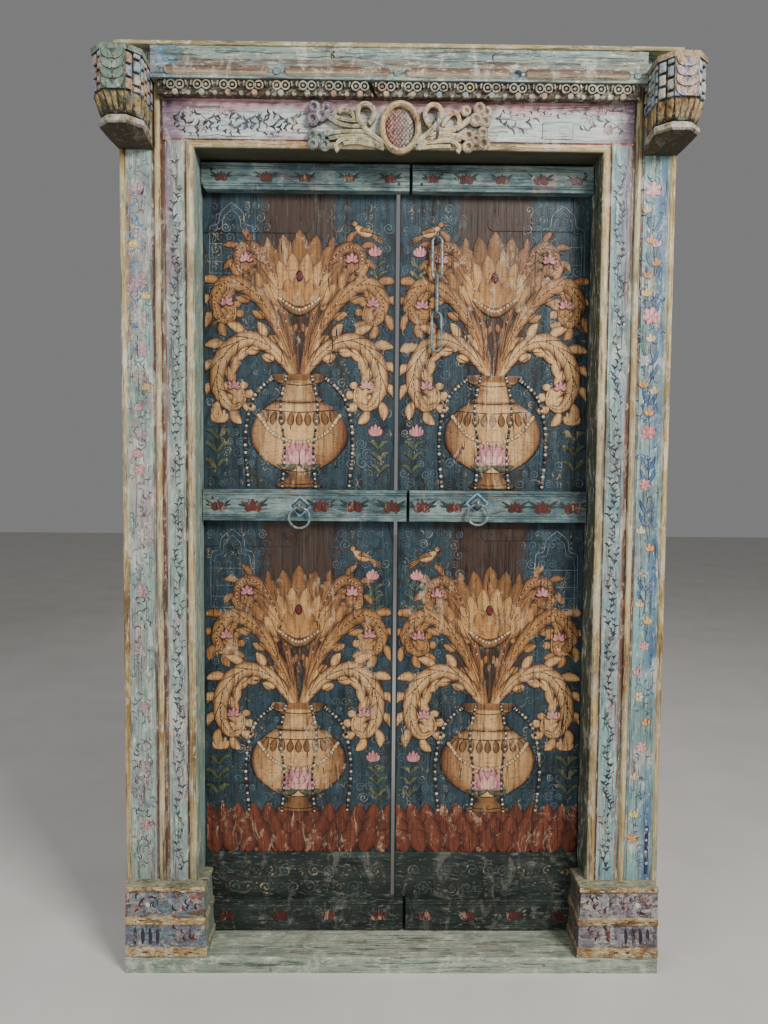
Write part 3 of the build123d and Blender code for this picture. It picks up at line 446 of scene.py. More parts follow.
def bloom(marks, layer):
    """Tall lotus in browns and gold above the vase."""
    marks.stroke([(0, 262), (-4, 330), (3, 392), (0, 440)], 9, GOLD, layer, 16, 0, LINE)
    fan(marks, 0, 440, 168, 26, 72, 11, GOLD_TONES, layer)
    fan(marks, 0, 436, 122, 22, 62, 8, (LINE, GOLD, rgb(206, 158, 98)), layer + 2)
    fan(marks, 0, 432, 78, 17, 50, 5, (LINE, OCHRE_DEEP, OCHRE), layer + 4)
    marks.blade([(-52, 446), (0, 418), (52, 446)], 11, GOLD_TONES, layer + 6, None, 16)
    marks.beads([(-48, 448), (0, 421), (48, 448)], 4.0, (OCHRE_LIGHT, PEARL), layer + 8, 15)
    marks.disc(0, 500, 9, CRIMSON, layer + 7, LINE, 12, 0.8, 1.5)
    for side in (-1, 1):
        marks.blade([(side * 6, 424), (side * 40, 396), (side * 78, 402)], 10, GREEN_TONES, layer)


def bird(marks, u, v, size, facing, layer):
    """Small bird in ochre and brown on a twig."""
    def place(a, b):
        return (u + facing * a * size, v + b * size)
    for index, drop in enumerate((-0.34, -0.2, -0.06)):
        marks.blade([place(-0.3, 0.12), place(-0.7, drop * 0.6), place(-1.1, drop - 0.14)], size * 0.07,
                    GOLD_TONES, layer + index * 0.3, count=9)
    marks.blade([place(-0.42, 0.05), place(0.0, 0.2), place(0.42, 0.5)], size * 0.26, OCHRE_TONES, layer + 1,
                count=14)
    marks.blade([place(-0.5, 0.16), place(-0.12, 0.3), place(0.2, 0.26)], size * 0.15, GOLD_TONES, layer + 2,
                count=10)
    marks.disc(*place(0.44, 0.6), size * 0.17, OCHRE, layer + 2, LINE, 10)
    marks.stroke([place(0.56, 0.6), place(0.68, 0.58), place(0.76, 0.5)], size * 0.09, CRIMSON, layer + 2, 5,
                 0.6)
    marks.disc(*place(0.48, 0.64), size * 0.035, INK, layer + 4, sides=6, dome=0.2)
    for step in (-0.05, 0.1):
        marks.stroke([place(step, 0.0), place(step + 0.02, -0.16)], size * 0.04, BROWN, layer + 1, 4)
    marks.stroke([place(-0.6, -0.16), place(0.0, -0.18), place(0.66, -0.14)], size * 0.06, BROWN, layer, 8,
                 0.5)


def spray(marks, u, v, height, lean, layer, tones=CRIMSON_TONES):
    """Bud on a stem with a few leaves."""
    top = (u + lean, v + height)
    marks.stroke([(u, v), (u + lean * 0.2, v + height * 0.5), top], 2.4, LEAF_GREEN, layer, 10, 0.3, INK)
    for step in (0.25, 0.5, 0.72):
        base = (u + lean * step * 0.7, v + height * step)
        for side in (-1, 1):
            tip = (base[0] + side * height * 0.2, base[1] + height * 0.14)
            marks.blade([base, ((base[0] + tip[0]) / 2, tip[1] - 2), tip], height * 0.05, GREEN_TONES, layer,
                        count=8)
    fan(marks, top[0], top[1] - 3, height * 0.24, height * 0.055, 42, 5, tones, layer + 1)


def arch_niche(marks, u, v, half, height):
    """Carved arch between two small columns, with a lattice behind it, in the blues of the ground."""
    pale = rgb(118, 146, 160)
    for side in (-1, 1):
        for offset in (0, 7):
            x = u + side * (half - offset)
            marks.stroke([(x, v), (x, v + height * 0.55)], 2.4, pale, 0, 6, 0, TEAL_DARK)
        marks.stroke([(u + side * half, v + height * 0.55), (u + side * half * 0.95, v + height * 0.7),
                      (u + side * half * 0.6, v + height * 0.74), (u + side * half * 0.5, v + height * 0.88),
                      (u, v + height)], 3.0, pale, 1, 16, 0, TEAL_DARK)
        marks.stroke([(u + side * (half - 9), v + height * 0.55),
                      (u + side * (half - 12), v + height * 0.66),
                      (u + side * half * 0.45, v + height * 0.69),
                      (u + side * half * 0.36, v + height * 0.82), (u, v + height * 0.92)], 2.0, pale, 1, 14,
                     0, TEAL_DARK)
    for index in range(7):
        x = u - half * 0.72 + index * half * 0.24
        marks.stroke([(x, v + 4), (x, v + height * 0.5)], 1.4, rgb(70, 98, 114), 0, 4, 0, TEAL_DARK)
    for step in (0.0, 0.14, 0.28, 0.5):
        marks.stroke([(u - half, v + height * step), (u + half, v + height * step)], 2.2, pale, 0, 6, 0,
                     TEAL_DARK)
    for index in range(8):
        marks.disc(u - half + half * (index + 0.5) / 4, v - 7, 3.4, pale, 0, TEAL_DARK, 7)


def ground_scrolls(marks, half, low, high, keep_out):
    """Small spirals cut all over the blue ground."""
    step = 24.0
    rows = int((high - low) / step)
    columns = int(2 * half / step)
    for line in range(rows):
        for column in range(columns):
            u = -half + (column + 0.5 + 0.5 * (line % 2)) * step + between(-3, 3)
            v = low + (line + 0.5) * step + between(-3, 3)
            if abs(u) > half - 8 or keep_out(u, v):
                continue
            tone = blend(rgb(38, 58, 68), rgb(98, 124, 136), chance.random() ** 1.4)
            points = spiral(u, v, between(8, 14.5), between(1.2, 2.0), between(0, 6.28),
                            chance.choice((-1, 1)), 16)
            marks.stroke(points, 3.4, tone, 0, 16, 0.2, TEAL_DARK, 0.6)


def petal_base(marks, half, height, layer):
    """Two rows of broad terracotta petals that the lower vase stands on."""
    for count, rise, wide, step in ((13, height, 24, 0), (12, height * 0.74, 25, 2),
                                    (11, height * 0.46, 27, 4)):
        for index in range(count):
            u = (index - (count - 1) / 2) * 2 * half / count
            lean = u * 0.12
            marks.blade([(u, -4), (u + lean * 0.4, rise * 0.5), (u + lean, rise)], wide, TERRACOTTA_TONES,
                        layer + step + 0.2 * (index % 2), petal_profile, 14, 0.8, 1.4)
            marks.stroke([(u, 4), (u + lean * 0.8, rise * 0.8)], 1.6, TERRACOTTA_DEEP, layer + step + 2.4, 8,
                         0.6)


def panel(marks, middle, low, high, seam, base):
    """Whole painting of one panel, whose seam lies towards the side seam (1 or -1)."""
    marks.at((middle, low), seam)
    marks.limits = (middle - PANEL_HALF, middle + PANEL_HALF)
    height = high - low
    foot = base + 4
    ground_scrolls(marks, PANEL_HALF, foot, height - 6, lambda u, v: abs(u) < 74 and v > foot + 250)
    arch_niche(marks, -160, height - 212, 52, 190)
    if base:
        petal_base(marks, PANEL_HALF - 4, base + 26, 1)
    marks.at((middle, low + foot), seam)
    top = height - foot
    bloom(marks, 1)
    curls(marks, 2)
    vase(marks, 5)
    vase_ornament(marks, 6)
    garlands(marks, 6)
    bird(marks, 150, top - 96, 46, -1, 1)
    bird(marks, -178, 392, 34, 1, 2)
    spray(marks, 196, 8, 120, -14, 1)
    spray(marks, -200, 8, 150, 10, 1, OCHRE_TONES)
    spray(marks, 186, top - 250, 110, -8, 1)


def strap_ground(side):
    """Surface of a leaf's painted face: the boards, and the straps that stand out of them."""
    boxes = [span(f"{name}_strap_{side}") for name in ("top", "middle", "bottom")]
    strap_face = face_y(f"top_strap_{side}")

    def surface(x, z):
        for x0, x1, z0, z1 in boxes:
            if x0 - 1 < x < x1 + 1 and z0 - 1 < z < z1 + 1:
                return strap_face
        return LEAF_FACE
    return surface


def behind_chain():
    """Part of the right leaf where the turned link hangs close to the boards, so the relief stays low."""
    margin = 9.0
    x0, x1, z0, z1 = span("chain_link_2")
    return x0 - margin, x1 + margin, z0 - margin, z1 + margin


# Rails and kick boards

# Half the room that a ring's plate takes on its rail, and the part of the kick board with no spirals
RING_ROOM = 34
KICK_BOARD_STRIP = 23.0
DARK_LEAF = (rgb(8, 14, 14), rgb(18, 34, 34), rgb(44, 66, 62))


def rail_lotus(marks, u, v, size):
    """Maroon lotus between dark leaves."""
    for side in (-1, 1):
        for rise in (0.1, 0.55):
            marks.blade([(u, v - 0.1 * size), (u + side * size * 0.65, v + size * rise * 0.4),
                         (u + side * size * 1.15, v + size * rise)], size * 0.13, DARK_LEAF, 0, count=8,
                        relief=0.2)
    tones = (rgb(28, 12, 12), rgb(60, 24, 26), rgb(100, 46, 42))
    fan(marks, u, v - size * 0.3, size * 0.85, size * 0.17, 78, 7, tones, 0.3, 0.08, 0.2)


def paint_rails(side):
    """Lotuses along the three rails of a leaf, and a diamond behind its ring."""
    marks = Marks(lambda x, z: RAIL_FACE)
    for rail, count, size in (("top_rail", 5, 24), ("middle_rail", 6, 29), ("bottom_rail", 4, 29)):
        x0, x1, z0, z1 = span(f"{rail}_{side}")
        marks.limits = (x0 + 2, x1 - 2)
        pitch = (x1 - x0) / count
        for index in range(count):
            x = x0 + (index + 0.5) * pitch + between(-6, 6)
            if rail == "middle_rail" and abs(x - ring_x(side)) < RING_ROOM:
                continue
            rail_lotus(marks, x, (z0 + z1) / 2 - 2, size * between(0.9, 1.1))
    x = ring_x(side)
    z = ring_z(side)
    for reach, colour, step in ((26, SKY, 0), (19, TEAL, 0.6)):
        corners = [(x - reach, z), (x, z + reach * 0.9), (x + reach, z), (x, z - reach * 0.9), (x - reach, z)]
        for start, end in zip(corners, corners[1:]):
            marks.stroke([start, end], 4.0, colour, step, 5)
    marks.piece(f"rail_painting_{side}", f"{side}_leaf", BRUSH_PAINT, "rail_paint")


def ring_x(side):
    x0, x1, _, _ = span(f"ring_{side}")
    return (x0 + x1) / 2


def ring_z(side):
    _, _, z0, z1 = span(f"ring_plate_{side}")
    return (z0 + z1) / 2


def paint_kick_board(side):
    """Rows of carved spirals above the bottom rail."""
    x0, x1, z0, z1 = span(f"kick_board_{side}")
    marks = Marks(lambda x, z: face_y(f"kick_board_{side}"))
    rows = 2
    pitch = 37.0
    count = int((x1 - x0 - 20) / pitch)
    height = (z1 - z0 - KICK_BOARD_STRIP) / rows
    for row in range(rows):
        for index in range(count):
            x = x0 + 14 + (index + 0.5 + 0.35 * row) * pitch + between(-3, 3)
            z = z0 + (row + 0.5) * height + between(-2, 2)
            if x > x1 - 12:
                continue
            tone = blend(rgb(34, 48, 46), rgb(84, 108, 100), chance.random() ** 1.5)
            marks.stroke(spiral(x, z, 16.5, 1.5, between(0, 6.28), chance.choice((-1, 1)), 20), 5.4, tone, 0,
                         20, 0.2, rgb(6, 10, 10), 1.0)
            marks.disc(x + pitch / 2, z + height / 4, 3.0, tone, 0, rgb(10, 18, 18), 7)
    marks.piece(f"kick_carving_{side}", f"{side}_leaf", BRUSH_PAINT, "rail_paint")


# Frame bands

def comma(marks, u, v, length, angle, width, colour, bend=0.35):
    """Single bent stroke of a brush, thin at both ends."""
    a = math.radians(angle)
    tip = (u + length * math.cos(a), v + length * math.sin(a))
    middle = (u + 0.5 * length * math.cos(a) - bend * length * math.sin(a),
              v + 0.5 * length * math.sin(a) + bend * length * math.cos(a))
    marks.stroke([(u, v), middle, tip], width, colour, 0, 7, 0.9, None, 0.3)


def foliage(marks, axis, start, end, centre, half, tones, pitch=21.0, weight=1.0, along_x=False):
    """Wavy stem with paired comma leaves and dots, drawn by brush along a band."""
    def put(s, w):
        return (s, w) if along_x else (w, s)
    count = int(abs(end - start) / pitch)
    step = (end - start) / count
    heading = 0 if along_x else 90
    if step < 0:
        heading += 180
    path = [put(start + index * step, centre + half * 0.45 * math.sin(index * 1.1 + axis))
            for index in range(count + 1)]
    for index in range(0, count - 3, 4):
        marks.stroke(path[index:index + 4], 1.4 * weight, chance.choice(tones), 0, 12, 0.6, None, 0.12)
    for index, (u, v) in enumerate(path[:-1]):
        for side in (-1, 1):
            if chance.random() < 0.2:
                continue
            length = half * between(0.5, 0.9)
            comma(marks, u, v, length, heading + side * between(25, 60), 2.9 * weight, chance.choice(tones),
                  side * -0.22)
        if chance.random() < 0.5:
            marks.disc(u + between(-1, 1) * half * 0.5, v + between(-1, 1) * 6, 1.5, chance.choice(tones),
                       0, sides=6, dome=0.2)


def blossom(marks, u, v, radius, petals, tones, heart, layer=1, start=0.3):
    """Open flower seen from the front."""
    for index in range(petals):
        angle = start + 2 * math.pi * index / petals
        tip = (u + radius * math.cos(angle), v + radius * math.sin(angle))
        middle = (u + 0.55 * radius * math.cos(angle + 0.12), v + 0.55 * radius * math.sin(angle + 0.12))
        marks.blade([(u, v), middle, tip], radius * 0.36, tones, layer + 0.2 * (index % 2), petal_profile, 9,
                    0.2, 0.5)
    marks.disc(u, v, radius * 0.2, heart, layer + 1.4, sides=8, dome=0.3)


PINK_TONES = (rgb(112, 50, 70), rgb(198, 104, 120), rgb(232, 182, 184))
PALE_TONES = (rgb(104, 92, 104), rgb(150, 142, 148), rgb(190, 186, 180))
MAUVE_TONES = (rgb(106, 78, 96), rgb(156, 124, 140), rgb(188, 162, 168))
OLD_ROSE_TONES = (rgb(122, 70, 78), rgb(176, 116, 122), rgb(200, 160, 158))
ORANGE_TONES = (rgb(92, 46, 30), rgb(186, 108, 62), rgb(224, 178, 122))
YELLOW_TONES = (rgb(100, 78, 38), rgb(204, 174, 84), rgb(226, 210, 146))
BLUE_TONES = (rgb(18, 28, 50), BLUE_DEEP, rgb(84, 122, 166))
CREAM_TONES = (rgb(104, 86, 62), rgb(196, 174, 132), rgb(226, 214, 182))


def drift(marks, x, z0, z1, half, tones, density, size):
    """Loose brush leaves scattered over a band."""
    for _ in range(int((z1 - z0) / density)):
        u = x + between(-1, 1) * half * 0.85
        v = between(z0, z1)
        comma(marks, u, v, size * between(0.6, 1.2), between(0, 360), size * 0.28, chance.choice(tones),
              chance.choice((-0.35, 0.35)))


# Height, offset from the band's middle, radius, petals and heart of each blossom of the right pilaster
RIGHT_BLOSSOMS = (
    (1800, -4, 19, PINK_TONES, rgb(240, 220, 190)), (1519, -2, 21, PINK_TONES, rgb(220, 130, 130)),
    (1256, 0, 18, (rgb(176, 70, 86), ROSE, PINK), CREAM), (1135, -6, 14, PINK_TONES, ROSE),
    (1418, -14, 14, PALE_TONES, CREAM), (930, -3, 12, PALE_TONES, ROSE), (760, 2, 12, PINK_TONES, CREAM),
    (640, -8, 12, CREAM_TONES, ORANGE), (520, 2, 13, PINK_TONES, YELLOW),
    (300, -14, 13, ORANGE_TONES, YELLOW))
# Height, offset, lean and petals of its buds
RIGHT_BUDS = (
    (1758, -14, 4, CREAM_TONES), (1690, -8, -3, ORANGE_TONES), (1682, 10, 5, PINK_TONES),
    (1640, 10, 4, ORANGE_TONES), (1612, -14, -4, ORANGE_TONES), (1572, -16, -3, YELLOW_TONES),
    (1470, 0, 2, CREAM_TONES), (1366, -16, -2, ORANGE_TONES), (1352, 12, 3, CREAM_TONES),
    (1302, 0, 0, ORANGE_TONES), (1030, -14, -2, CREAM_TONES), (990, 10, 2, ORANGE_TONES),
    (860, -12, -2, CREAM_TONES), (820, 10, 3, ORANGE_TONES), (700, -12, 0, PINK_TONES),
    (580, 12, 2, ORANGE_TONES), (450, -14, -2, CREAM_TONES), (360, -14, -3, YELLOW_TONES))
# Height, offset, radius and petals of the blossoms of the left pilaster
LEFT_BLOSSOMS = (
    (1585, 2, 18, MAUVE_TONES), (1505, 0, 22, PALE_TONES), (1430, 4, 17, MAUVE_TONES),
    (1372, -2, 18, PALE_TONES), (1240, 0, 15, MAUVE_TONES), (1160, -2, 14, OLD_ROSE_TONES),
    (1010, 2, 16, PALE_TONES), (880, 0, 15, MAUVE_TONES), (740, -4, 16, PALE_TONES),
    (610, 4, 15, MAUVE_TONES), (470, 0, 16, PALE_TONES), (330, 6, 14, OLD_ROSE_TONES),
    (1690, 4, 16, PALE_TONES), (1790, 0, 17, MAUVE_TONES))


def paint_right_outer_band(marks):
    """Blossoms and leaves up the right pilaster, fading to small flowers near the foot."""
    x = 579.0
    blues = (BLUE, rgb(84, 122, 160), rgb(108, 146, 178), BLUE_DEEP)
    drift(marks, x, 1150, 1840, 27, blues, 4.2, 17)
    drift(marks, x + 6, 230, 1150, 20, (BLUE, rgb(70, 104, 140), rgb(96, 128, 150), SLATE), 7.0, 14)
    for z, lean in ((1720, 3), (1640, -4), (1560, 6), (1420, -6), (1330, 4), (1180, -2), (1080, 4),
                    (900, -3)):
        marks.stroke([(x + lean, z - 72), (x - lean, z - 20), (x + lean * 0.5, z + 24)], 3.2,
                     rgb(34, 42, 56), 0, 10, 0.4)
        for side in (-1, 1):
            for rise in (-42, -12):
                marks.blade([(x, z + rise), (x + side * 10, z + rise + 14), (x + side * 17, z + rise + 34)],
                            5.0, BLUE_TONES, 0, count=8, relief=0.2, line=0.8)
    for z, offset, radius, tones, heart in RIGHT_BLOSSOMS:
        blossom(marks, x + offset, z, radius, 6, tones, heart, start=between(0, 1))
    for z, offset, lean, tones in RIGHT_BUDS:
        fan(marks, x + offset, z - 8, 19, 5.2, 34, 3, tones, 1, 0.1, 0.2, lean * 4)
        marks.stroke([(x + offset - lean, z - 36), (x + offset, z - 8)], 2.4, rgb(40, 48, 60), 0, 6, 0.4)
    strip = 599.0
    marks.stroke([(strip, 214), (strip, 330)], 19, BLUE_DEEP, 0, 8, 0, BLUE_DEEP, 0.1)
    for z in (240, 268, 296, 322):
        marks.disc(strip + between(-2, 2), z, 3.4, PEARL, 1, sides=7, dome=0.2)


def paint_left_outer_band(marks):
    """Faint pink and mauve blossoms with a few yellow crescents and blue touches on the left pilaster."""
    x = -583.0
    drift(marks, x, 230, 1850, 26, (rgb(136, 104, 122), rgb(120, 110, 124), rgb(98, 116, 130),
                                    rgb(158, 116, 120)), 5.5, 16)
    drift(marks, x - 6, 1400, 1760, 24, (rgb(84, 124, 164), rgb(112, 146, 176)), 9.0, 22)
    drift(marks, x, 230, 1350, 22, (SLATE, rgb(84, 78, 90)), 16.0, 15)
    for z, offset, radius, tones in LEFT_BLOSSOMS:
        blossom(marks, x + offset, z, radius, 6, tones, rgb(206, 178, 170), 0, between(0, 1))
    for z, offset, tones in ((1668, -12, YELLOW_TONES), (1552, 14, YELLOW_TONES), (1568, -16, MAUVE_TONES),
                             (1348, 14, YELLOW_TONES), (1302, -6, MAUVE_TONES), (1196, -8, PINK_TONES)):
        fan(marks, x + offset, z - 6, 17, 6, 40, 4, tones, 1, 0.1, 0.2)


def cracks(marks, places):
    """Dark splits that follow the grain of a timber."""
    for x, z, length in places:
        count = max(int(length / 14), 4)
        points = [(x + length * (index / (count - 1) - 0.5), z + between(-2.2, 2.2))
                  for index in range(count)]
        marks.stroke(points, between(1.6, 2.6), rgb(24, 20, 18), 0, 2 * count, 0.7, None, 0.3)


def paint_bands():
    """Painting of the jambs, pilasters and lintel, and the cracks of the cornice."""
    marks = Marks(lambda x, z: face_y("cornice_board"))
    cracks(marks, ((-470, 2068, 90), (-330, 2074, 150), (-150, 2066, 170), (-92, 2076, 60), (60, 2070, 120),
                   (180, 2062, 90), (300, 2074, 140), (430, 2066, 120), (-420, 2058, 70), (470, 2074, 60)))
    for x, z, angle in ((-150, 2062, 60), (-138, 2064, 110), (206, 2062, 70)):
        comma(marks, x, z, 20, angle, 5.0, rgb(40, 32, 28), 0.3)
    marks.piece("cornice_cracks", "frame", BRUSH_PAINT, "frame_paint")
    marks = Marks(lambda x, z: 0.0)
    cracks(marks, ((-380, 1908, 120), (330, 1975, 110), (420, 1906, 100), (250, 1950, 60)))
    inks = (SLATE, rgb(44, 52, 62), rgb(88, 92, 104), rgb(62, 60, 78))
    foliage(marks, 0.3, PLINTH_TOP + 20, SOFFIT - 20, -499, 18, inks, 15, 1.7)
    foliage(marks, 1.3, PLINTH_TOP + 20, SOFFIT - 20, 500, 17,
            (INK, SLATE, rgb(44, 54, 70), rgb(76, 70, 100)), 14, 2.0)
    x0, x1, z0, z1 = span("lintel_patch")
    corners = ((x0, z0), (x1, z0), (x1, z1), (x0, z1), (x0, z0))
    for start, end in zip(corners, corners[1:]):
        marks.stroke([start, end], 3.4, rgb(70, 74, 66), 0, 6, 0.0, None, 0.5)
    foliage(marks, 2.1, PLINTH_TOP + 30, SOFFIT - 20, -503, 15, inks, 17, 1.4)
    foliage(marks, 3.6, PLINTH_TOP + 30, SOFFIT - 20, 506, 15, (INK, rgb(60, 56, 80), rgb(70, 84, 104)), 15,
            1.8)
    paint_left_outer_band(marks)
    paint_right_outer_band(marks)
    z = (SOFFIT + LINTEL_TOP) / 2 + 8
    for start, end in ((-505, -215), (-225, -505), (215, 315), (505, 400)):
        foliage(marks, start * 0.01, start, end, z + between(-6, 6), 26, inks, 15, 2.3, True)
    foliage(marks, 2.0, -500, -215, z - 22, 15, inks, 15, 1.9, True)
    foliage(marks, 2.6, 230, 490, z + 24, 13, inks, 15, 1.9, True)
    for u, v in ((-470, z + 18), (-440, z - 16), (-396, z + 20), (430, z + 10), (470, z - 10), (452, z + 30)):
        blossom(marks, u, v, 12, 5, chance.choice((PALE_TONES, MAUVE_TONES)), CREAM, 0, between(0, 1))
    marks.piece("band_painting", "frame", BRUSH_PAINT, "frame_paint")


# Plinths

# Foot and top of each ledge and each leaning band of a plinth block, with its front at the two
PLINTH_FRONTS = ((0, 60, -45.0, -45.0), (60, 111, -42.0, -39.0), (111, 130, -43.0, -43.0),
                 (130, 188, -39.0, -35.0), (188, 205, -40.0, -40.0))
OUTER_BLOCK = 568.0
INNER_BLOCK = 480.0
BLOCKS_INNER_EDGE = 450
BLOCKS_OUTER_EDGE = 606
LEDGE_HEIGHTS = (48, 120, 194)


def plinth_front(x, z):
    """Front of a plinth block at a height."""
    for low, high, y_low, y_high in PLINTH_FRONTS:
        if z < high:
            break
    return y_low + (y_high - y_low) * (z - low) / (high - low)


def paint_plinth(side):
    """Brush marks on the bands of the two blocks, and chips on their ledges."""
    marks = Marks(plinth_front)
    outer = SIDES[side] * OUTER_BLOCK
    inner = SIDES[side] * INNER_BLOCK
    dark = rgb(30, 26, 40)
    for index in range(4):
        x = outer - 26 + index * 17
        marks.blade([(x, 66), (x + 1, 86), (x - 1, 106)], 4.6, (rgb(14, 14, 24), dark, rgb(52, 48, 72)), 0,
                    None, 8, 0.2)
    for _ in range(16):
        x = inner + between(-26, 30)
        z = chance.choice((between(70, 102), between(140, 178)))
        comma(marks, x, z, between(10, 18), between(50, 130), 6.0, chance.choice((MAROON, dark, CRIMSON)))
    for _ in range(18):
        x = outer + between(-36, 36)
        comma(marks, x, between(138, 180), between(10, 18), between(0, 180), 5.0,
              chance.choice((MAROON, rgb(84, 110, 140), rgb(186, 120, 124), dark)))
    marks.disc(outer + 2, 158, 5.5, rgb(206, 202, 190), 1, sides=10, dome=0.3)
    for _ in range(26):
        x = SIDES[side] * between(BLOCKS_INNER_EDGE, BLOCKS_OUTER_EDGE)
        tone = chance.choice((rgb(206, 212, 204), rgb(116, 74, 46), rgb(60, 40, 30), rgb(170, 196, 190)))
        z = chance.choice(LEDGE_HEIGHTS) + between(-4, 4)
        marks.stroke([(x, z), (x + between(8, 20), z + between(-2, 2))], between(2, 4.5), tone, 0, 6,
                     0.8)
    marks.piece(f"plinth_painting_{side}", "frame", BRUSH_PAINT, "plinth_paint")


# Carving of the capitals: pegs round the abacus and tongues round the echinus, in millimetres

ABACUS_FOOT = 1955.0
ABACUS_TOP = 2036.0
ECHINUS_FOOT = 1918.0
# Half the width and the forward reach of the abacus, and of the echinus at its top and its foot
CAPITAL_CORE = (48.0, 109.0)
BELL_TOP = (51.0, 110.0)
BELL_FOOT = (44.0, 86.0)
PEG_ROWS = 3
PEG_LOW_HEIGHT = 5.6
PEG_HEIGHT = 7.6
PEG_HALF_GAP = 2.2
SHORTEST_PEG = 6
# Share of a column's width, and how far the peg's face falls back there
PEG_PROFILE = ((0.10, 9.0), (0.14, 1.2), (0.22, 0.0), (0.78, 0.0), (0.86, 1.2), (0.90, 9.0))
# Tongues on each side of the outline
TONGUES = (4, 2, 3, 2, 4)
TONGUE_HEIGHT = 2.6
TONGUE_STEPS = 8
SUNK = 0.4


def plan(half, reach, chamfer=28.0):
    """Corners of a capital's outline seen from above, from its back on one side round to the other."""
    return ((-half, 0), (-half, chamfer - reach), (chamfer - half, -reach), (half - chamfer, -reach),
            (half, chamfer - reach), (half, 0))


def outward(start, end):
    """Unit vectors along a side of the outline and out of it, and the side's length."""
    length = math.hypot(end[0] - start[0], end[1] - start[1])
    along = ((end[0] - start[0]) / length, (end[1] - start[1]) / length)
    return along, (along[1], -along[0]), length


def peg_patches():
    """Rows of points over each peg. The front side has leaves instead of pegs."""
    corners = plan(*CAPITAL_CORE)
    row_height = (ABACUS_TOP - ABACUS_FOOT) / PEG_ROWS
    for index, columns, height in ((0, 4, PEG_LOW_HEIGHT), (1, 2, PEG_HEIGHT), (3, 2, PEG_HEIGHT),
                                   (4, 4, PEG_LOW_HEIGHT)):
        start = corners[index]
        along, out, length = outward(start, corners[index + 1])
        pitch = length / columns
        for column in range(columns):
            shift = 0.5 * (column % 2)
            for row in range(PEG_ROWS + 1):
                low = max(ABACUS_FOOT + (row - shift) * row_height + PEG_HALF_GAP, ABACUS_FOOT + 0.5)
                high = min(ABACUS_FOOT + (row + 1 - shift) * row_height - PEG_HALF_GAP, ABACUS_TOP - 0.5)
                if high - low < SHORTEST_PEG:
                    continue
                reach = height * between(0.86, 1.0)
                levels = ((low, -SUNK), (low + 1.2, reach - 1.2), (low + 2.8, reach),
                          ((low + high) / 2, reach), (high - 2.8, reach), (high - 1.2, reach - 1.2),
                          (high, -SUNK))
                yield [[peg_point(start, along, out, (column + share) * pitch, max(lift - drop, -SUNK), z)
                        for share, drop in PEG_PROFILE] for z, lift in levels]


def peg_point(start, along, out, distance, rise, z):
    return (start[0] + along[0] * distance + out[0] * rise, start[1] + along[1] * distance + out[1] * rise, z)


def tongue_patches():
    """Rows of points over each tongue of the echinus, which narrows downwards."""
    top = plan(*BELL_TOP)
    foot = plan(*BELL_FOOT)
    slope = math.atan2(BELL_TOP[1] - BELL_FOOT[1], ABACUS_FOOT - ECHINUS_FOOT)
    for index, count in enumerate(TONGUES):
        _, out, _ = outward(top[index], top[index + 1])
        for tongue in range(count):
            rows = []
            for step in range(TONGUE_STEPS + 1):
                s = step / TONGUE_STEPS * 0.94 + 0.02
                half = 0.43 * math.sqrt(max(1 - s ** 5, 0.0)) * (1 - 0.12 * s)
                row = []
                for c in (-1.0, -0.8, -0.4, 0.0, 0.4, 0.8, 1.0):
                    t = (tongue + 0.5 + c * half) / count
                    lift = TONGUE_HEIGHT * (1 - 0.55 * c * c) * math.sin(math.pi * (0.2 + 0.7 * s))
                    if abs(c) == 1.0 or step in (0, TONGUE_STEPS):
                        lift = -0.5
                    high = [a + (b - a) * t for a, b in zip(top[index], top[index + 1])]
                    low = [a + (b - a) * t for a, b in zip(foot[index], foot[index + 1])]
                    x, y = (a + (b - a) * s + way * lift * math.cos(slope)
                            for a, b, way in zip(high, low, out))
                    z = ABACUS_FOOT + (ECHINUS_FOOT - ABACUS_FOOT) * s - math.sin(slope) * lift
                    row.append((x, min(y, 0.0), z))
                rows.append(row)
            yield rows


def carved_capital(side):
    """Pegs and tongues of one capital as a mesh with two finishes."""
    x0, x1, _, _ = span(f"capital_{side}")
    middle = (x0 + x1) / 2
    vertices = []
    faces = []
    slots = []
    for finish, patches in enumerate((peg_patches(), tongue_patches())):
        for rows in patches:
            first = len(vertices)
            width = len(rows[0])
            for row in rows:
                vertices.extend(((middle + x) * MM, y * MM, z * MM) for x, y, z in row)
            for line in range(len(rows) - 1):
                for column in range(width - 1):
                    corner = first + line * width + column
                    faces.append((corner, corner + 1, corner + width + 1, corner + width))
                    slots.append(finish)
    mesh = bpy.data.meshes.new(f"capital_carving_{side}")
    mesh.from_pydata(vertices, [], faces)
    form = bmesh.new()
    form.from_mesh(mesh)
    inside_y = -0.04
    for face, finish in zip(form.faces, slots):
        face.smooth = True
        face.material_index = finish
        centre = face.calc_center_median()
        if face.normal.dot(Vector((centre.x - middle * MM, centre.y - inside_y, 0.0))) < 0:
            face.normal_flip()
    bmesh.ops.dissolve_degenerate(form, dist=SMALLEST, edges=form.edges)
    form.to_mesh(mesh)
    form.free()
    mesh.materials.append(CAPITAL_PAINT)
    mesh.materials.append(TONGUE_PAINT)
    piece = new_object(f"capital_carving_{side}", mesh)
    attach(piece, "frame")


# Nails

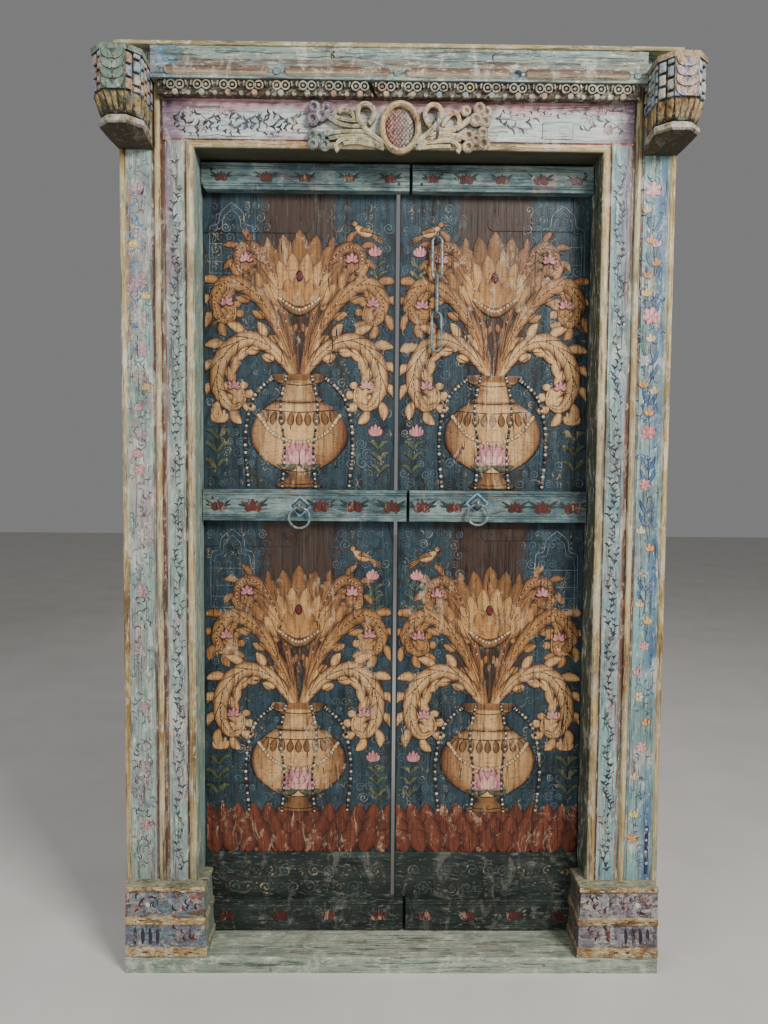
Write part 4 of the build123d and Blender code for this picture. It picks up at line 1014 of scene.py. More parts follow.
def nail_heads(side):
    """Small hammered heads where nails hold the rails, the straps and the kick board."""
    marks = Marks(lambda x, z: 0.0)
    places = []
    for rail, inset in (("top_rail", 14), ("middle_rail", 16), ("bottom_rail", 16)):
        x0, x1, z0, z1 = span(f"{rail}_{side}")
        for share in (0.05, 0.95):
            places.append((x0 + share * (x1 - x0), (z0 + z1) / 2 + chance.choice((-1, 1)) * inset, RAIL_FACE))
    for strap in ("top", "middle", "bottom"):
        x0, x1, z0, z1 = span(f"{strap}_strap_{side}")
        face = face_y(f"{strap}_strap_{side}")
        for share in (0.1, 0.5, 0.9):
            places.append((x0 + share * (x1 - x0), (z0 + z1) / 2 + between(-3, 3), face))
    x0, x1, z0, z1 = span(f"kick_board_{side}")
    for share in (0.05, 0.5, 0.95):
        places.append((x0 + share * (x1 - x0), z1 - 34, face_y(f"kick_board_{side}")))
    for x, z, y in places:
        marks.ground = lambda u, v, y=y: y
        marks.disc(x, z, between(2.8, 3.8), OCHRE, 0, LINE, 10, 1.1)
    marks.piece(f"nails_{side}", f"{side}_leaf", NAIL_IRON, "iron")


# Finishes

class Field:
    """A value that varies over a surface. Fields are added, multiplied and compared with steps."""

    def __init__(self, finish, socket):
        self.finish = finish
        self.socket = socket

    def __add__(self, other):
        return self.finish.maths("ADD", self, other)

    def __sub__(self, other):
        return self.finish.maths("SUBTRACT", self, other)

    def __rsub__(self, other):
        return self.finish.maths("SUBTRACT", other, self)

    def __mul__(self, other):
        return self.finish.maths("MULTIPLY", self, other)

    def __truediv__(self, other):
        return self.finish.maths("DIVIDE", self, other)

    def __abs__(self):
        return self.finish.maths("ABSOLUTE", self)

    def step(self, low, high, to_low, to_high):
        """Smooth change from to_low to to_high while the value goes from low to high."""
        node = self.finish.node("ShaderNodeMapRange", self, low, high, to_low, to_high)
        node.interpolation_type = "SMOOTHSTEP"
        return Field(self.finish, node.outputs["Result"])

    def rise(self, low, high, top=1.0):
        return self.step(low, high, 0.0, top)

    def fall(self, low, high, top=1.0):
        return self.step(low, high, top, 0.0)

    def within(self, low, high, soft):
        """1 where the value lies between low and high."""
        return self.rise(low - soft, low + soft) * self.fall(high - soft, high + soft)


class Finish:
    """A material built from nodes. Textures follow the piece, so they turn with its body."""

    def __init__(self, name, roughness=0.62):
        self.material = bpy.data.materials.new(name)
        self.material.use_nodes = True
        self.tree = self.material.node_tree
        self.shader = self.tree.nodes["Principled BSDF"]
        self.shader.inputs["Roughness"].default_value = roughness
        self.shader.inputs["Specular IOR Level"].default_value = 0.35
        coordinates = self.node("ShaderNodeTexCoord")
        self.place = coordinates.outputs["Object"]
        self.x, self.y, self.z = self.parts(self.place)
        self.facing_x, self.facing_y, self.facing_z = self.parts(coordinates.outputs["Normal"])
        self.colour = None

    def give(self, socket, value):
        """Links a field to a socket, or sets the socket to a plain value."""
        if isinstance(value, Field):
            self.tree.links.new(value.socket, socket)
        else:
            socket.default_value = value

    def node(self, kind, *values):
        """New node, with values for its first inputs."""
        node = self.tree.nodes.new(kind)
        for socket, value in zip(node.inputs, values):
            self.give(socket, value)
        return node

    def parts(self, vector):
        node = self.node("ShaderNodeSeparateXYZ")
        self.tree.links.new(vector, node.inputs[0])
        return [Field(self, output) for output in node.outputs]

    def maths(self, operation, first, second=0.0):
        node = self.node("ShaderNodeMath", first, second)
        node.operation = operation
        return Field(self, node.outputs[0])

    def right_side(self):
        """1 on the right half of the door and 0 on the left one."""
        return self.x.rise(-0.01, 0.01)

    def noise(self, scale, stretch=(1, 1, 1), detail=4.0, roughness=0.6, distortion=0.0, shift=0.0):
        mapping = self.node("ShaderNodeMapping")
        self.tree.links.new(self.place, mapping.inputs["Vector"])
        mapping.inputs["Scale"].default_value = stretch
        mapping.inputs["Location"].default_value = (shift, shift * 0.7, shift * 1.3)
        node = self.node("ShaderNodeTexNoise", Field(self, mapping.outputs[0]))
        for name, level in (("Scale", scale), ("Detail", detail), ("Roughness", roughness),
                            ("Distortion", distortion)):
            node.inputs[name].default_value = level
        return Field(self, node.outputs[0])

    def ramp(self, value, *stops):
        """Colours along a value. Each stop has a position and the sRGB values of its colour."""
        node = self.node("ShaderNodeValToRGB", value)
        elements = node.color_ramp.elements
        for element, (position, *tone) in zip(elements, (stops[0], stops[-1])):
            element.position, element.color = position, rgb(*tone)
        for position, *tone in stops[1:-1]:
            elements.new(position).color = rgb(*tone)
        return Field(self, node.outputs[0])

    def mix(self, share, under, over, mode="MIX"):
        node = self.node("ShaderNodeMix", share)
        node.data_type = "RGBA"
        node.blend_type = mode
        self.give(node.inputs[6], under)
        self.give(node.inputs[7], over)
        return Field(self, node.outputs[2])

    def coat(self, share, tone, mode="MIX"):
        """Lays a tone over the colour so far."""
        self.colour = self.mix(share, self.colour, tone, mode)

    def wear(self, stretch, wood=rgb(112, 88, 64), amount=0.60, dirt=rgb(46, 42, 36), bleach=0.45):
        """Grain, hairline cracks, rubbed spots and dirt. Returns the height of the grain."""
        fresh = self.colour
        across, _, along = stretch
        grain = self.noise(190, stretch, 6, 0.7)
        self.coat(grain.rise(0.35, 0.62, 0.45), (0.28, 0.27, 0.25, 1), "MULTIPLY")
        self.coat(grain.rise(0.52, 0.74, 0.5), fresh)
        self.coat(self.noise(26, (1, 1, 0.5), 7, 0.72, 0.6, 3.0).rise(0.52, 0.64, bleach), rgb(222, 220, 202))
        flecks = self.noise(150, (across ** 0.5, 1, along ** 0.5), 6, 0.75, 0.5, 27.0)
        self.coat(flecks.rise(0.56, 0.62, bleach * 1.3), rgb(232, 228, 208))
        self.coat(self.noise(120, stretch, 8, 0.8, 0.4, 15.0).rise(0.53, 0.60, 0.75), rgb(48, 42, 36))
        self.coat(self.noise(70, stretch, 8, 0.75, 0.8, 8.0).rise(amount, amount + 0.05, 0.85), wood)
        self.coat(self.noise(9, (1, 1, 0.7), 6, 0.7, 0.4, 5.0).rise(0.5, 0.7, 0.4), dirt)
        cracks = self.noise(46, (across, stretch[1], along * 0.6), 3, 0.5, 1.6, 12.0)
        hairline = cracks.within(0.497, 0.503, 0.003)
        self.coat(hairline * 0.55, rgb(30, 24, 20))
        return grain - hairline * 0.8

    def bare_back(self):
        """Unpainted, darkened timber where the surface looks backwards."""
        rings = self.noise(60, (1, 1, 0.04), 5, 0.6, 0.3, 2.0)
        self.coat(self.facing_y.rise(0.4, 0.7),
                  self.ramp(rings, (0.3, 92, 70, 50), (0.5, 136, 108, 78), (0.7, 108, 84, 60)))

    def done(self, heights, roughness=None):
        """Links the colour and the bumps, each a height with its depth in metres."""
        self.give(self.shader.inputs["Base Color"], self.colour)
        below = None
        for height, depth in heights:
            node = self.node("ShaderNodeBump")
            node.inputs["Strength"].default_value = 1.0
            node.inputs["Distance"].default_value = depth
            self.give(node.inputs["Height"], height)
            if below:
                self.give(node.inputs["Normal"], below)
            below = Field(self, node.outputs[0])
        if below:
            self.give(self.shader.inputs["Normal"], below)
        if roughness:
            self.give(self.shader.inputs["Roughness"], roughness)
        return self.material


GRAIN_UP = (1.0, 1.0, 0.05)
GRAIN_ACROSS = (0.05, 1.0, 1.0)


def side_timber():
    """Jambs and pilasters: aqua bands between golden beads, with blue, lavender and pink washes."""
    finish = Finish("side_timber")
    out = abs(finish.x) + (finish.noise(30, (1, 1, 0.3), 3) - 0.5) * 0.005
    right = finish.right_side()
    wash = finish.noise(11, (1.6, 1, 0.4), 5, 0.65, 0.5)
    left_wash = finish.ramp(wash, (0.30, 112, 142, 132), (0.43, 158, 180, 166), (0.52, 140, 164, 158),
                            (0.60, 176, 172, 166), (0.72, 126, 152, 142))
    right_wash = finish.ramp(wash, (0.30, 104, 146, 142), (0.43, 146, 184, 178), (0.52, 126, 164, 166),
                             (0.60, 160, 176, 172), (0.72, 120, 156, 146))
    finish.colour = finish.mix(right, left_wash, right_wash)
    lavender = out.within(0.476, 0.523, 0.002) * out.rise(0.49, 0.52) * finish.z.rise(0.9, 1.9)
    finish.coat(lavender * 0.6, rgb(132, 104, 132))
    finish.coat(finish.noise(16, (1, 1, 0.35), 4, 0.6, 0.6, 7.0).rise(0.56, 0.68, 0.4), rgb(178, 138, 142))
    patches = finish.noise(8, (1, 1, 0.5), 3, 0.5, 0, 4.0).rise(0.42, 0.56)
    finish.coat(right * out.within(0.585, 0.612, 0.01) * patches * 0.8, rgb(70, 106, 150))
    tan = (1.0 - right) * out.within(0.598, 0.612, 0.004) * finish.z.within(1.44, 1.80, 0.03)
    finish.coat(tan * 0.85, rgb(156, 130, 104))
    golden = finish.noise(22, (1, 1, 0.16), 5, 0.7, 0.4, 1.0)
    gold = finish.ramp(golden, (0.32, 128, 98, 60), (0.44, 186, 158, 104), (0.54, 212, 196, 152),
                       (0.64, 168, 164, 132), (0.74, 140, 108, 66))
    outer_bead = out.within(0.611, 0.64, 0.0008) * finish.y.fall(0.010, 0.018)
    for bead in (out.within(0.450, 0.4765, 0.0008), out.within(0.5325, 0.5475, 0.0008), outer_bead):
        finish.coat(bead, gold)
    # Reddish-brown lines beside the beads: the dark ones are painted shadow in the quirks, the pink one
    # between them is a painted line.
    for low, high, tone in ((0.476, 0.481, rgb(120, 72, 52)), (0.5215, 0.5265, rgb(176, 112, 92)),
                            (0.5265, 0.5335, rgb(104, 58, 40)), (0.547, 0.553, rgb(122, 60, 52))):
        streak = finish.noise(18, (1, 1, 0.1), 3, 0.6, 0, low * 40).step(0.36, 0.5, 0.25, 0.9)
        finish.coat(out.within(low, high, 0.0008) * streak, tone)
    # Painted light and shade on the reveals: pale on the lit left one, dark olive on the shaded right one.
    lit_and_shaded_reveal = finish.mix(right, rgb(140, 166, 156), rgb(66, 78, 66))
    finish.coat(abs(finish.facing_x).rise(0.6, 0.9) * out.fall(0.4575, 0.4635), lit_and_shaded_reveal)
    height = finish.wear(GRAIN_UP)
    finish.bare_back()
    return finish.done(((height, 0.0009), (golden, 0.0006)), height.step(0.3, 0.7, 0.52, 0.72))


def lintel_timber():
    """Pale blue-grey, rose towards the top and mauve at the ends, above a golden bead."""
    finish = Finish("lintel_timber")
    finish.colour = finish.ramp(finish.noise(10, (0.5, 1, 1.4), 5, 0.65, 0.5), (0.30, 150, 178, 178),
                                (0.45, 196, 212, 208), (0.55, 212, 216, 208), (0.70, 164, 184, 186))
    wander = finish.noise(14, (0.6, 1, 1), 4, 0.6, 0.3, 6.0)
    level = finish.z + (wander - 0.5) * 0.06
    finish.coat(level.rise(1.945, 1.985, 0.85), rgb(206, 140, 150))
    ends = abs(finish.x) + (wander - 0.5) * 0.08
    finish.coat(ends.rise(0.44, 0.51, 0.8), rgb(134, 100, 132))
    finish.coat(level.fall(1.898, 1.912, 0.6), rgb(168, 124, 140))
    golden = finish.noise(22, (0.16, 1, 1), 5, 0.7, 0.4, 1.0)
    finish.coat(finish.z.fall(1.8965, 1.8975), finish.ramp(
        golden, (0.32, 128, 98, 60), (0.44, 190, 160, 104), (0.56, 216, 198, 150), (0.70, 160, 148, 108)))
    finish.coat(finish.z.within(1.8972, 1.9005, 0.0006), rgb(150, 70, 66))
    height = finish.wear(GRAIN_ACROSS)
    # Painted shade: the soffit and other faces that look downwards darkened.
    finish.coat(finish.facing_z.fall(-0.9, -0.6, 0.92), rgb(50, 58, 50))
    finish.bare_back()
    return finish.done(((height, 0.0008),))


def cornice_timber():
    """Grey-green board, streaked and stained, with a blue patch at the left end and an ochre top edge."""
    finish = Finish("cornice_timber")
    finish.colour = finish.ramp(
        finish.noise(9, (0.35, 1, 2.0), 6, 0.7, 0.6), (0.30, 116, 138, 132), (0.42, 136, 164, 158),
        (0.52, 160, 172, 160), (0.60, 118, 150, 158), (0.74, 140, 134, 134))
    streaks = finish.noise(40, (0.14, 1, 1.4), 6, 0.75, 0.8, 4.0)
    finish.coat(streaks.rise(0.53, 0.66, 0.8), rgb(92, 82, 84))
    finish.coat(finish.noise(16, (0.3, 1, 1.6), 7, 0.76, 0.9, 11.0).rise(0.50, 0.62, 0.5), rgb(84, 96, 88))
    finish.coat(streaks.step(0.42, 0.56, 0.9, 0.2) * finish.z.within(2.046, 2.062, 0.004), rgb(126, 98, 74))
    patch = finish.x.fall(-0.505, -0.470) * finish.noise(20, (1, 1, 1), 3, 0.5, 0.4, 9.0).rise(0.40, 0.5)
    finish.coat(patch * 0.85, rgb(92, 146, 178))
    finish.coat(finish.x.fall(-0.56, -0.52) * 0.6, rgb(196, 156, 136))
    golden = finish.noise(26, (0.2, 1, 1), 5, 0.7, 0.4, 1.0)
    finish.coat(finish.z.rise(2.084, 2.092),
                finish.ramp(golden, (0.35, 140, 132, 90), (0.5, 196, 176, 118), (0.65, 150, 148, 112)))
    height = finish.wear(GRAIN_ACROSS, amount=0.585)
    finish.bare_back()
    return finish.done(((height, 0.001), (streaks, 0.0008)))


def bar_paint():
    """Half-round bars: cream below, brown above."""
    finish = Finish("bar_paint")
    level = finish.z + (finish.noise(30, (0.3, 1, 1), 4, 0.6, 0.3) - 0.5) * 0.012
    finish.colour = finish.ramp(level.rise(2.026, 2.046), (0.0, 176, 170, 146), (0.45, 146, 116, 92),
                                (1.0, 104, 80, 64))
    return finish.done(((finish.wear(GRAIN_ACROSS), 0.0008),))


def frieze_paint():
    """Taupe carving, darker in its depths as painted shade, with pendants in cream, salmon and pale blue."""
    finish = Finish("frieze_paint")
    pitch = 0.058
    # Painted shade: the carving darker towards its back, in its depths.
    depth = finish.y.rise(-0.0265, -0.0195)
    front = finish.ramp(finish.noise(9, (1, 1, 1), 4, 0.6, 0.5), (0.35, 146, 132, 108), (0.48, 182, 168, 140),
                        (0.58, 150, 158, 146), (0.70, 168, 140, 112))
    finish.colour = finish.mix(depth, front, rgb(74, 62, 50))
    pendant = finish.y.fall(-0.0285, -0.0278) * finish.z.fall(1.9995, 2.001)
    cell = finish.maths("FLOOR", finish.x / pitch)
    shuffle = finish.maths("FRACT", finish.maths("SINE", cell * 12.99) * 43.7)
    finish.coat(pendant, finish.ramp(shuffle, (0.0, 196, 172, 130), (0.3, 186, 138, 108),
                                     (0.55, 184, 176, 152), (0.8, 128, 152, 156)))
    height = finish.wear((0.3, 1, 1), rgb(92, 74, 58), 0.56, rgb(34, 28, 24))
    finish.bare_back()
    return finish.done(((height, 0.0008),))


def crest_paint():
    """Olive and cream stems on the left, cream, blue and orange ones on the right, duller flowers."""
    finish = Finish("crest_paint", 0.55)
    off = finish.x - 0.0025
    right = off.rise(-0.01, 0.01)
    tone = finish.noise(24, (1, 1, 1), 5, 0.65, 0.6)
    left_stems = finish.ramp(tone, (0.32, 122, 118, 92), (0.46, 188, 178, 138), (0.56, 210, 202, 166),
                             (0.70, 136, 152, 138))
    right_stems = finish.ramp(tone, (0.30, 156, 128, 98), (0.42, 220, 178, 136), (0.52, 234, 220, 176),
                              (0.60, 206, 190, 164), (0.72, 142, 172, 178))
    finish.colour = finish.mix(right, left_stems, right_stems)
    upper = finish.z.rise(1.918, 1.930)
    left_flower = finish.mix(upper, rgb(104, 122, 118), rgb(128, 116, 132))
    right_flower = finish.mix(upper, rgb(170, 146, 118), rgb(196, 172, 140))
    flowers = finish.mix(tone.rise(0.45, 0.62, 0.6), finish.mix(right, left_flower, right_flower),
                         rgb(200, 190, 168))
    finish.coat(abs(off).rise(0.140, 0.152), flowers)
    half_width, half_height, middle = 0.0455, 0.0575, 1.9245
    across = off / half_width
    up = (finish.z - middle) / half_height
    radius = finish.maths("SQRT", across * across + up * up)
    finish.coat(radius.within(0.735, 1.03, 0.01),
                finish.ramp(tone, (0.35, 156, 118, 78), (0.5, 204, 172, 120), (0.66, 218, 204, 164)))
    field = radius.fall(0.735, 0.75)
    finish.coat(field, finish.mix(off.rise(-0.02, 0.02), rgb(186, 130, 122), rgb(172, 166, 152)))
    spacing = 0.0085
    grooves = [abs(finish.maths("FRACT", (off + finish.z * lean) / spacing) - 0.5).rise(0.30, 0.44)
               for lean in (0.8, -0.8)]
    hatch = finish.maths("MAXIMUM", *grooves) * field
    finish.coat(hatch * 0.8, rgb(74, 44, 38))
    # Painted shade on the surfaces of the crest that lie further back.
    finish.coat(finish.y.rise(-0.0125, -0.004) * 0.85, rgb(44, 34, 28))
    height = finish.wear((1, 1, 0.6), rgb(110, 84, 58), 0.62, rgb(40, 32, 26))
    return finish.done(((height, 0.0008), (1.0 - hatch, 0.0012)))


def capital_paint():
    """Leaves, teal on the left and mixed on the right, with pegs beside them, above a bell. Painted light and
    shade: lit tops of the peg rows, dark gaps between the pegs, a bell dark between the tongues, a dark inner
    side on the right capital and dark undersides.
    """
    finish = Finish("capital_paint")
    right = finish.right_side()
    tone = finish.noise(26, (1, 1, 1), 5, 0.65, 0.6)
    teal = finish.ramp(tone, (0.32, 84, 106, 96), (0.5, 118, 142, 128), (0.68, 132, 124, 92))
    mixed = finish.ramp(tone, (0.32, 150, 118, 92), (0.44, 196, 158, 126), (0.54, 168, 156, 170),
                        (0.64, 124, 140, 172), (0.75, 190, 164, 128))
    leaf_face = finish.mix(right, teal, mixed)
    left_pegs = finish.ramp(finish.noise(34, (1, 1, 1), 1, 0.5, 0, 3.0), (0.34, 166, 124, 74),
                            (0.46, 206, 176, 160), (0.55, 150, 150, 176), (0.66, 112, 150, 172))
    right_pegs = finish.ramp(finish.noise(34, (1, 1, 1), 1, 0.5, 0, 5.0), (0.34, 132, 156, 176),
                             (0.46, 190, 198, 198), (0.56, 214, 204, 176), (0.68, 120, 128, 140))
    pegs = finish.mix(right, left_pegs, right_pegs)
    middle, half_width, reach, half_diagonal = 0.601, 0.054, 0.115, 0.0997
    abacus_foot, peg_pitch = 1.9555, 0.0268
    off = abs(abs(finish.x) - middle)
    forward = finish.y * -1.0
    oblique = (off + forward) * 0.7071
    beyond = finish.maths("MAXIMUM", off - half_width, forward - reach)
    beyond = finish.maths("MAXIMUM", beyond, oblique - half_diagonal)
    panel_face = off.fall(0.0262, 0.0268) * finish.y.fall(-0.1085, -0.1075)
    raised = finish.y.fall(-0.1172, -0.1160)
    leaf_face = finish.mix(raised, finish.mix(0.6, leaf_face, rgb(44, 58, 54)), leaf_face)
    # Painted highlight: the upper part of each row of pegs lighter.
    lit = finish.maths("FRACT", (finish.z - abacus_foot) / peg_pitch).rise(0.55, 0.85)
    pegs = finish.mix(lit * 0.5, pegs, rgb(176, 204, 204))
    finish.colour = finish.mix(panel_face, pegs, leaf_face)
    # Painted shade: the gaps between the pegs darkened.
    peg_gap_shade = beyond.fall(-0.0053, -0.0038) * (1.0 - panel_face)
    finish.coat(peg_gap_shade * 0.85, rgb(36, 34, 30))
    finish.coat(finish.z.rise(2.035, 2.038), finish.mix(right, rgb(120, 138, 120), rgb(176, 150, 116)))
    # Painted shade: the bell, seen between the tongues, near black.
    bell_shade = finish.ramp(finish.noise(60, (1, 1, 0.2), 3, 0.6), (0.36, 26, 24, 18), (0.52, 58, 50, 34),
                       (0.68, 84, 72, 48))
    finish.colour = finish.mix(finish.z.rise(1.953, 1.956), bell_shade, finish.colour)
    torus = finish.ramp(tone, (0.36, 128, 104, 66), (0.5, 196, 188, 168), (0.62, 150, 146, 168),
                        (0.72, 210, 208, 200))
    finish.coat(finish.z.within(1.8965, 1.9145, 0.001), torus)
    finish.coat(finish.z.fall(1.893, 1.8975), rgb(104, 90, 62))
    # Painted shade: the inner side of the right capital darker.
    finish.coat(right * finish.facing_x.fall(-0.95, -0.8, 0.4), rgb(58, 46, 34))
    height = finish.wear((1, 1, 0.5), rgb(104, 82, 58), 0.61, rgb(32, 28, 22), 0.3)
    # Painted shade: faces that look downwards darkened.
    finish.coat(finish.facing_z.fall(-0.95, -0.6, 0.7), rgb(34, 32, 26))
    return finish.done(((height, 0.001),))


def tongue_paint():
    """Tongues: dark green-brown and ochre on the left, rust and gold on the right."""
    finish = Finish("tongue_paint")
    tone = finish.noise(46, (1, 1, 0.3), 4, 0.65, 0.3)
    left = finish.ramp(tone, (0.34, 58, 66, 52), (0.46, 128, 116, 78), (0.56, 186, 158, 102),
                       (0.68, 96, 122, 112))
    right = finish.ramp(tone, (0.34, 84, 58, 40), (0.46, 160, 118, 72), (0.56, 206, 176, 120),
                        (0.68, 118, 136, 132))
    finish.colour = finish.mix(finish.right_side(), left, right)
    # Painted shade: the lower ends of the tongues darkened.
    finish.coat(finish.z.fall(1.9185, 1.926, 0.7), rgb(40, 34, 26))
    return finish.done(((finish.wear((1, 1, 0.5), rgb(104, 82, 58), 0.62, rgb(32, 28, 22), 0.2), 0.0008),))


def plinth_paint():
    """Gold ledges, with lavender and blue bands stained maroon between them."""
    finish = Finish("plinth_paint")
    z = finish.z + (finish.noise(26, (1, 1, 1), 4) - 0.5) * 0.008
    right = finish.right_side()
    tone = finish.noise(20, (1, 1, 1), 5, 0.7, 0.6)
    left_band = finish.ramp(tone, (0.32, 62, 70, 82), (0.42, 122, 110, 130), (0.50, 88, 118, 130),
                            (0.57, 160, 146, 134), (0.64, 138, 84, 92), (0.74, 80, 92, 104))
    right_band = finish.ramp(tone, (0.32, 74, 80, 94), (0.42, 138, 138, 144), (0.50, 112, 94, 112),
                             (0.57, 180, 182, 176), (0.64, 98, 42, 42), (0.74, 112, 130, 146))
    finish.colour = finish.mix(right, left_band, right_band)
    drips = finish.noise(60, (1, 1, 0.12), 4, 0.6, 0.2, 6.0)
    finish.coat(drips.rise(0.58, 0.66, 0.8), rgb(84, 42, 46))
    finish.coat(drips.fall(0.34, 0.42, 0.6), rgb(44, 52, 70))
    gold = finish.ramp(tone, (0.34, 92, 66, 38), (0.48, 174, 136, 82), (0.60, 206, 186, 140),
                       (0.72, 104, 92, 62))
    ledges = z.within(0.030, 0.060, 0.0012)
    for low, high in ((0.111, 0.130), (0.188, 0.204)):
        ledges = finish.maths("MAXIMUM", ledges, z.within(low, high, 0.0012))
    finish.coat(ledges, gold)
    finish.coat(finish.facing_z.rise(0.6, 0.9) * 0.6, rgb(150, 168, 150))
    chips = finish.noise(48, (1, 1, 1), 5, 0.7, 0.5, 2.0).rise(0.54, 0.58)
    finish.coat(chips * finish.z.fall(0.040, 0.052), rgb(214, 218, 210))
    # Painted light and shade on the inner sides: pale green on the lit left plinth, dark brown on the shaded
    # right one.
    inner = abs(finish.facing_x).rise(0.75, 0.92)
    finish.coat(inner * 0.8, finish.mix(right, rgb(128, 146, 128), rgb(62, 54, 38)))
    height = finish.wear((0.25, 1, 1), rgb(90, 66, 46), 0.55, rgb(40, 34, 30), 0.3)
    finish.bare_back()
    return finish.done(((height, 0.0012), (tone, 0.0012)))


def sill_paint():
    """Grey-green threshold, trodden pale in the middle of its top."""
    finish = Finish("sill_paint")
    finish.colour = finish.ramp(finish.noise(8, (0.3, 1.2, 1), 6, 0.7, 0.5), (0.30, 120, 138, 122),
                                (0.46, 150, 166, 148), (0.56, 172, 182, 164), (0.70, 132, 142, 124))
    trodden = finish.facing_z.rise(0.6, 0.9) * abs(finish.x).fall(0.18, 0.46)
    trodden = trodden * finish.noise(30, (0.4, 1, 1), 5, 0.7, 0.3, 5.0).rise(0.36, 0.6)
    finish.coat(trodden * 0.7, rgb(186, 184, 164))
    height = finish.wear(GRAIN_ACROSS, rgb(126, 112, 88))
    finish.bare_back()
    return finish.done(((height, 0.0012),))


def board_paint():
    """Ground of the painted panels: dark blue-teal with a brown field behind each bloom."""
    finish = Finish("board_paint", 0.5)
    leaf_middle, seam = 0.231, 0.0023
    centre = abs(abs(finish.x) - leaf_middle) + (finish.noise(12, (1, 1, 0.4), 4, 0.6, 0.3) - 0.5) * 0.05
    tone = finish.noise(14, (1.6, 1, 0.6), 8, 0.76, 0.8)
    ground = finish.ramp(tone, (0.32, 14, 20, 22), (0.43, 28, 42, 48), (0.52, 40, 66, 78), (0.60, 46, 46, 38),
                         (0.70, 24, 34, 38))
    brown = finish.ramp(tone, (0.32, 36, 26, 22), (0.5, 66, 48, 38), (0.66, 52, 46, 42))
    fields = finish.z.within(1.42, 1.82, 0.03) + finish.z.within(0.66, 1.05, 0.03)
    finish.colour = finish.mix(fields * centre.fall(0.075, 0.10), ground, brown)
    streak = finish.noise(120, (1, 1, 0.03), 5, 0.7, 0.0, 2.0)
    finish.coat(streak.rise(0.54, 0.70, 0.4), rgb(84, 96, 92))
    finish.coat(finish.noise(30, (1, 1, 0.4), 8, 0.8, 0.8, 17.0).rise(0.57, 0.66, 0.35), rgb(120, 136, 134))
    finish.coat(streak.fall(0.36, 0.46, 0.5), rgb(14, 20, 22))
    # Painted shade: darker near the seam between the two leaves.
    finish.coat(abs(finish.x - seam).fall(0.004, 0.014) * 0.7, rgb(14, 16, 16))
    split = finish.noise(30, (1, 1, 0.02), 3, 0.5, 1.2, 12.0).within(0.496, 0.504, 0.003)
    finish.coat(split * 0.7, rgb(10, 10, 10))
    finish.bare_back()
    return finish.done(((streak - split * 0.8, 0.0010),), tone.step(0.3, 0.7, 0.42, 0.62))


def rail_paint(name, low, mid, high, blush):
    """Rails and kick boards: a wash of three tones, rubbed to a fourth."""
    finish = Finish(name, 0.55)
    tone = finish.noise(12, (0.5, 1, 1.5), 6, 0.7, 0.5)
    finish.colour = finish.ramp(tone, (0.30, *low), (0.48, *mid), (0.62, *high), (0.75, *mid))
    finish.coat(finish.noise(18, (0.5, 1, 1), 5, 0.7, 0.6, 4.0).rise(0.55, 0.68, 0.6), blush)
    height = finish.wear(GRAIN_ACROSS, rgb(84, 70, 56), 0.63, rgb(24, 28, 26), 0.12)
    finish.bare_back()
    return finish.done(((height, 0.001),))


def paint_layer(name, flakes, depth):
    """Colour of drawn marks, streaked along the grain, thinned and flaked as old paint is."""
    finish = Finish(name, 0.5)
    paint = finish.node("ShaderNodeAttribute")
    paint.attribute_name = "paint"
    finish.colour = Field(finish, paint.outputs["Color"])
    grain = finish.noise(150, (1, 1, 0.04), 6, 0.72)
    finish.coat(grain.fall(0.36, 0.56, 0.75), (0.42, 0.36, 0.30, 1), "MULTIPLY")
    finish.coat(finish.noise(7, (1, 1, 0.6), 6, 0.7, 0.5, 14.0).rise(0.48, 0.66, 0.5), (0.46, 0.42, 0.38, 1),
                "MULTIPLY")
    finish.coat(finish.noise(34, (1, 1, 0.45), 8, 0.8, 0.8, 17.0).rise(0.53, 0.63, 0.5), rgb(208, 184, 150))
    finish.coat(finish.noise(80, (1, 1, 0.16), 8, 0.8, 0.6, 21.0).rise(0.58, 0.63, 0.7), rgb(52, 40, 32))
    blotch = finish.noise(22, (1, 1, 0.6), 6, 0.7, 0.5, 6.0)
    finish.coat(blotch.rise(0.50, 0.66, 0.35), (1.18, 1.10, 1.0, 1), "MULTIPLY")
    finish.coat(blotch.fall(0.32, 0.46, 0.45), (0.5, 0.44, 0.40, 1), "MULTIPLY")
    finish.coat(finish.noise(420, (1, 1, 0.3), 3, 0.7, 0.4, 2.0).rise(flakes, flakes + 0.03, 0.8),
                rgb(58, 42, 32))
    finish.coat(finish.noise(90, (0.12, 1, 1.6), 4, 0.65, 0.8, 9.0).within(0.494, 0.506, 0.002),
                rgb(58, 38, 28))
    finish.coat(finish.noise(36, (1, 1, 0.03), 3, 0.5, 1.2, 12.0).within(0.496, 0.504, 0.002),
                rgb(30, 20, 16))
    return finish.done(((grain, depth),), blotch.step(0.3, 0.7, 0.40, 0.60))


def iron_finish(name, *tones):
    """Dull, partly rusted iron."""
    finish = Finish(name, 0.48)
    finish.shader.inputs["Metallic"].default_value = 0.55
    tone = finish.noise(90, (1, 1, 1), 5, 0.65, 0.5)
    stops = zip((0.30, 0.48, 0.62, 0.74), tones)
    finish.colour = finish.ramp(tone, *((place, *levels) for place, levels in stops))
    fine = finish.noise(420, (1, 1, 1), 4, 0.6)
    return finish.done(((tone, 0.0006), (fine, 0.0002)), tone.step(0.35, 0.65, 0.62, 0.36))


def bare_timber():
    """Unpainted timber of the header beam."""
    finish = Finish("bare_timber", 0.7)
    rings = finish.noise(50, (0.04, 1, 1), 5, 0.6, 0.3)
    finish.colour = finish.ramp(rings, (0.3, 90, 68, 50), (0.5, 134, 106, 76), (0.7, 106, 82, 58))
    return finish.done(((rings, 0.001),))


def by_name(groups):
    """Table with an entry for each name of a group."""
    return {name: value for names, value in groups for name in names.split()}


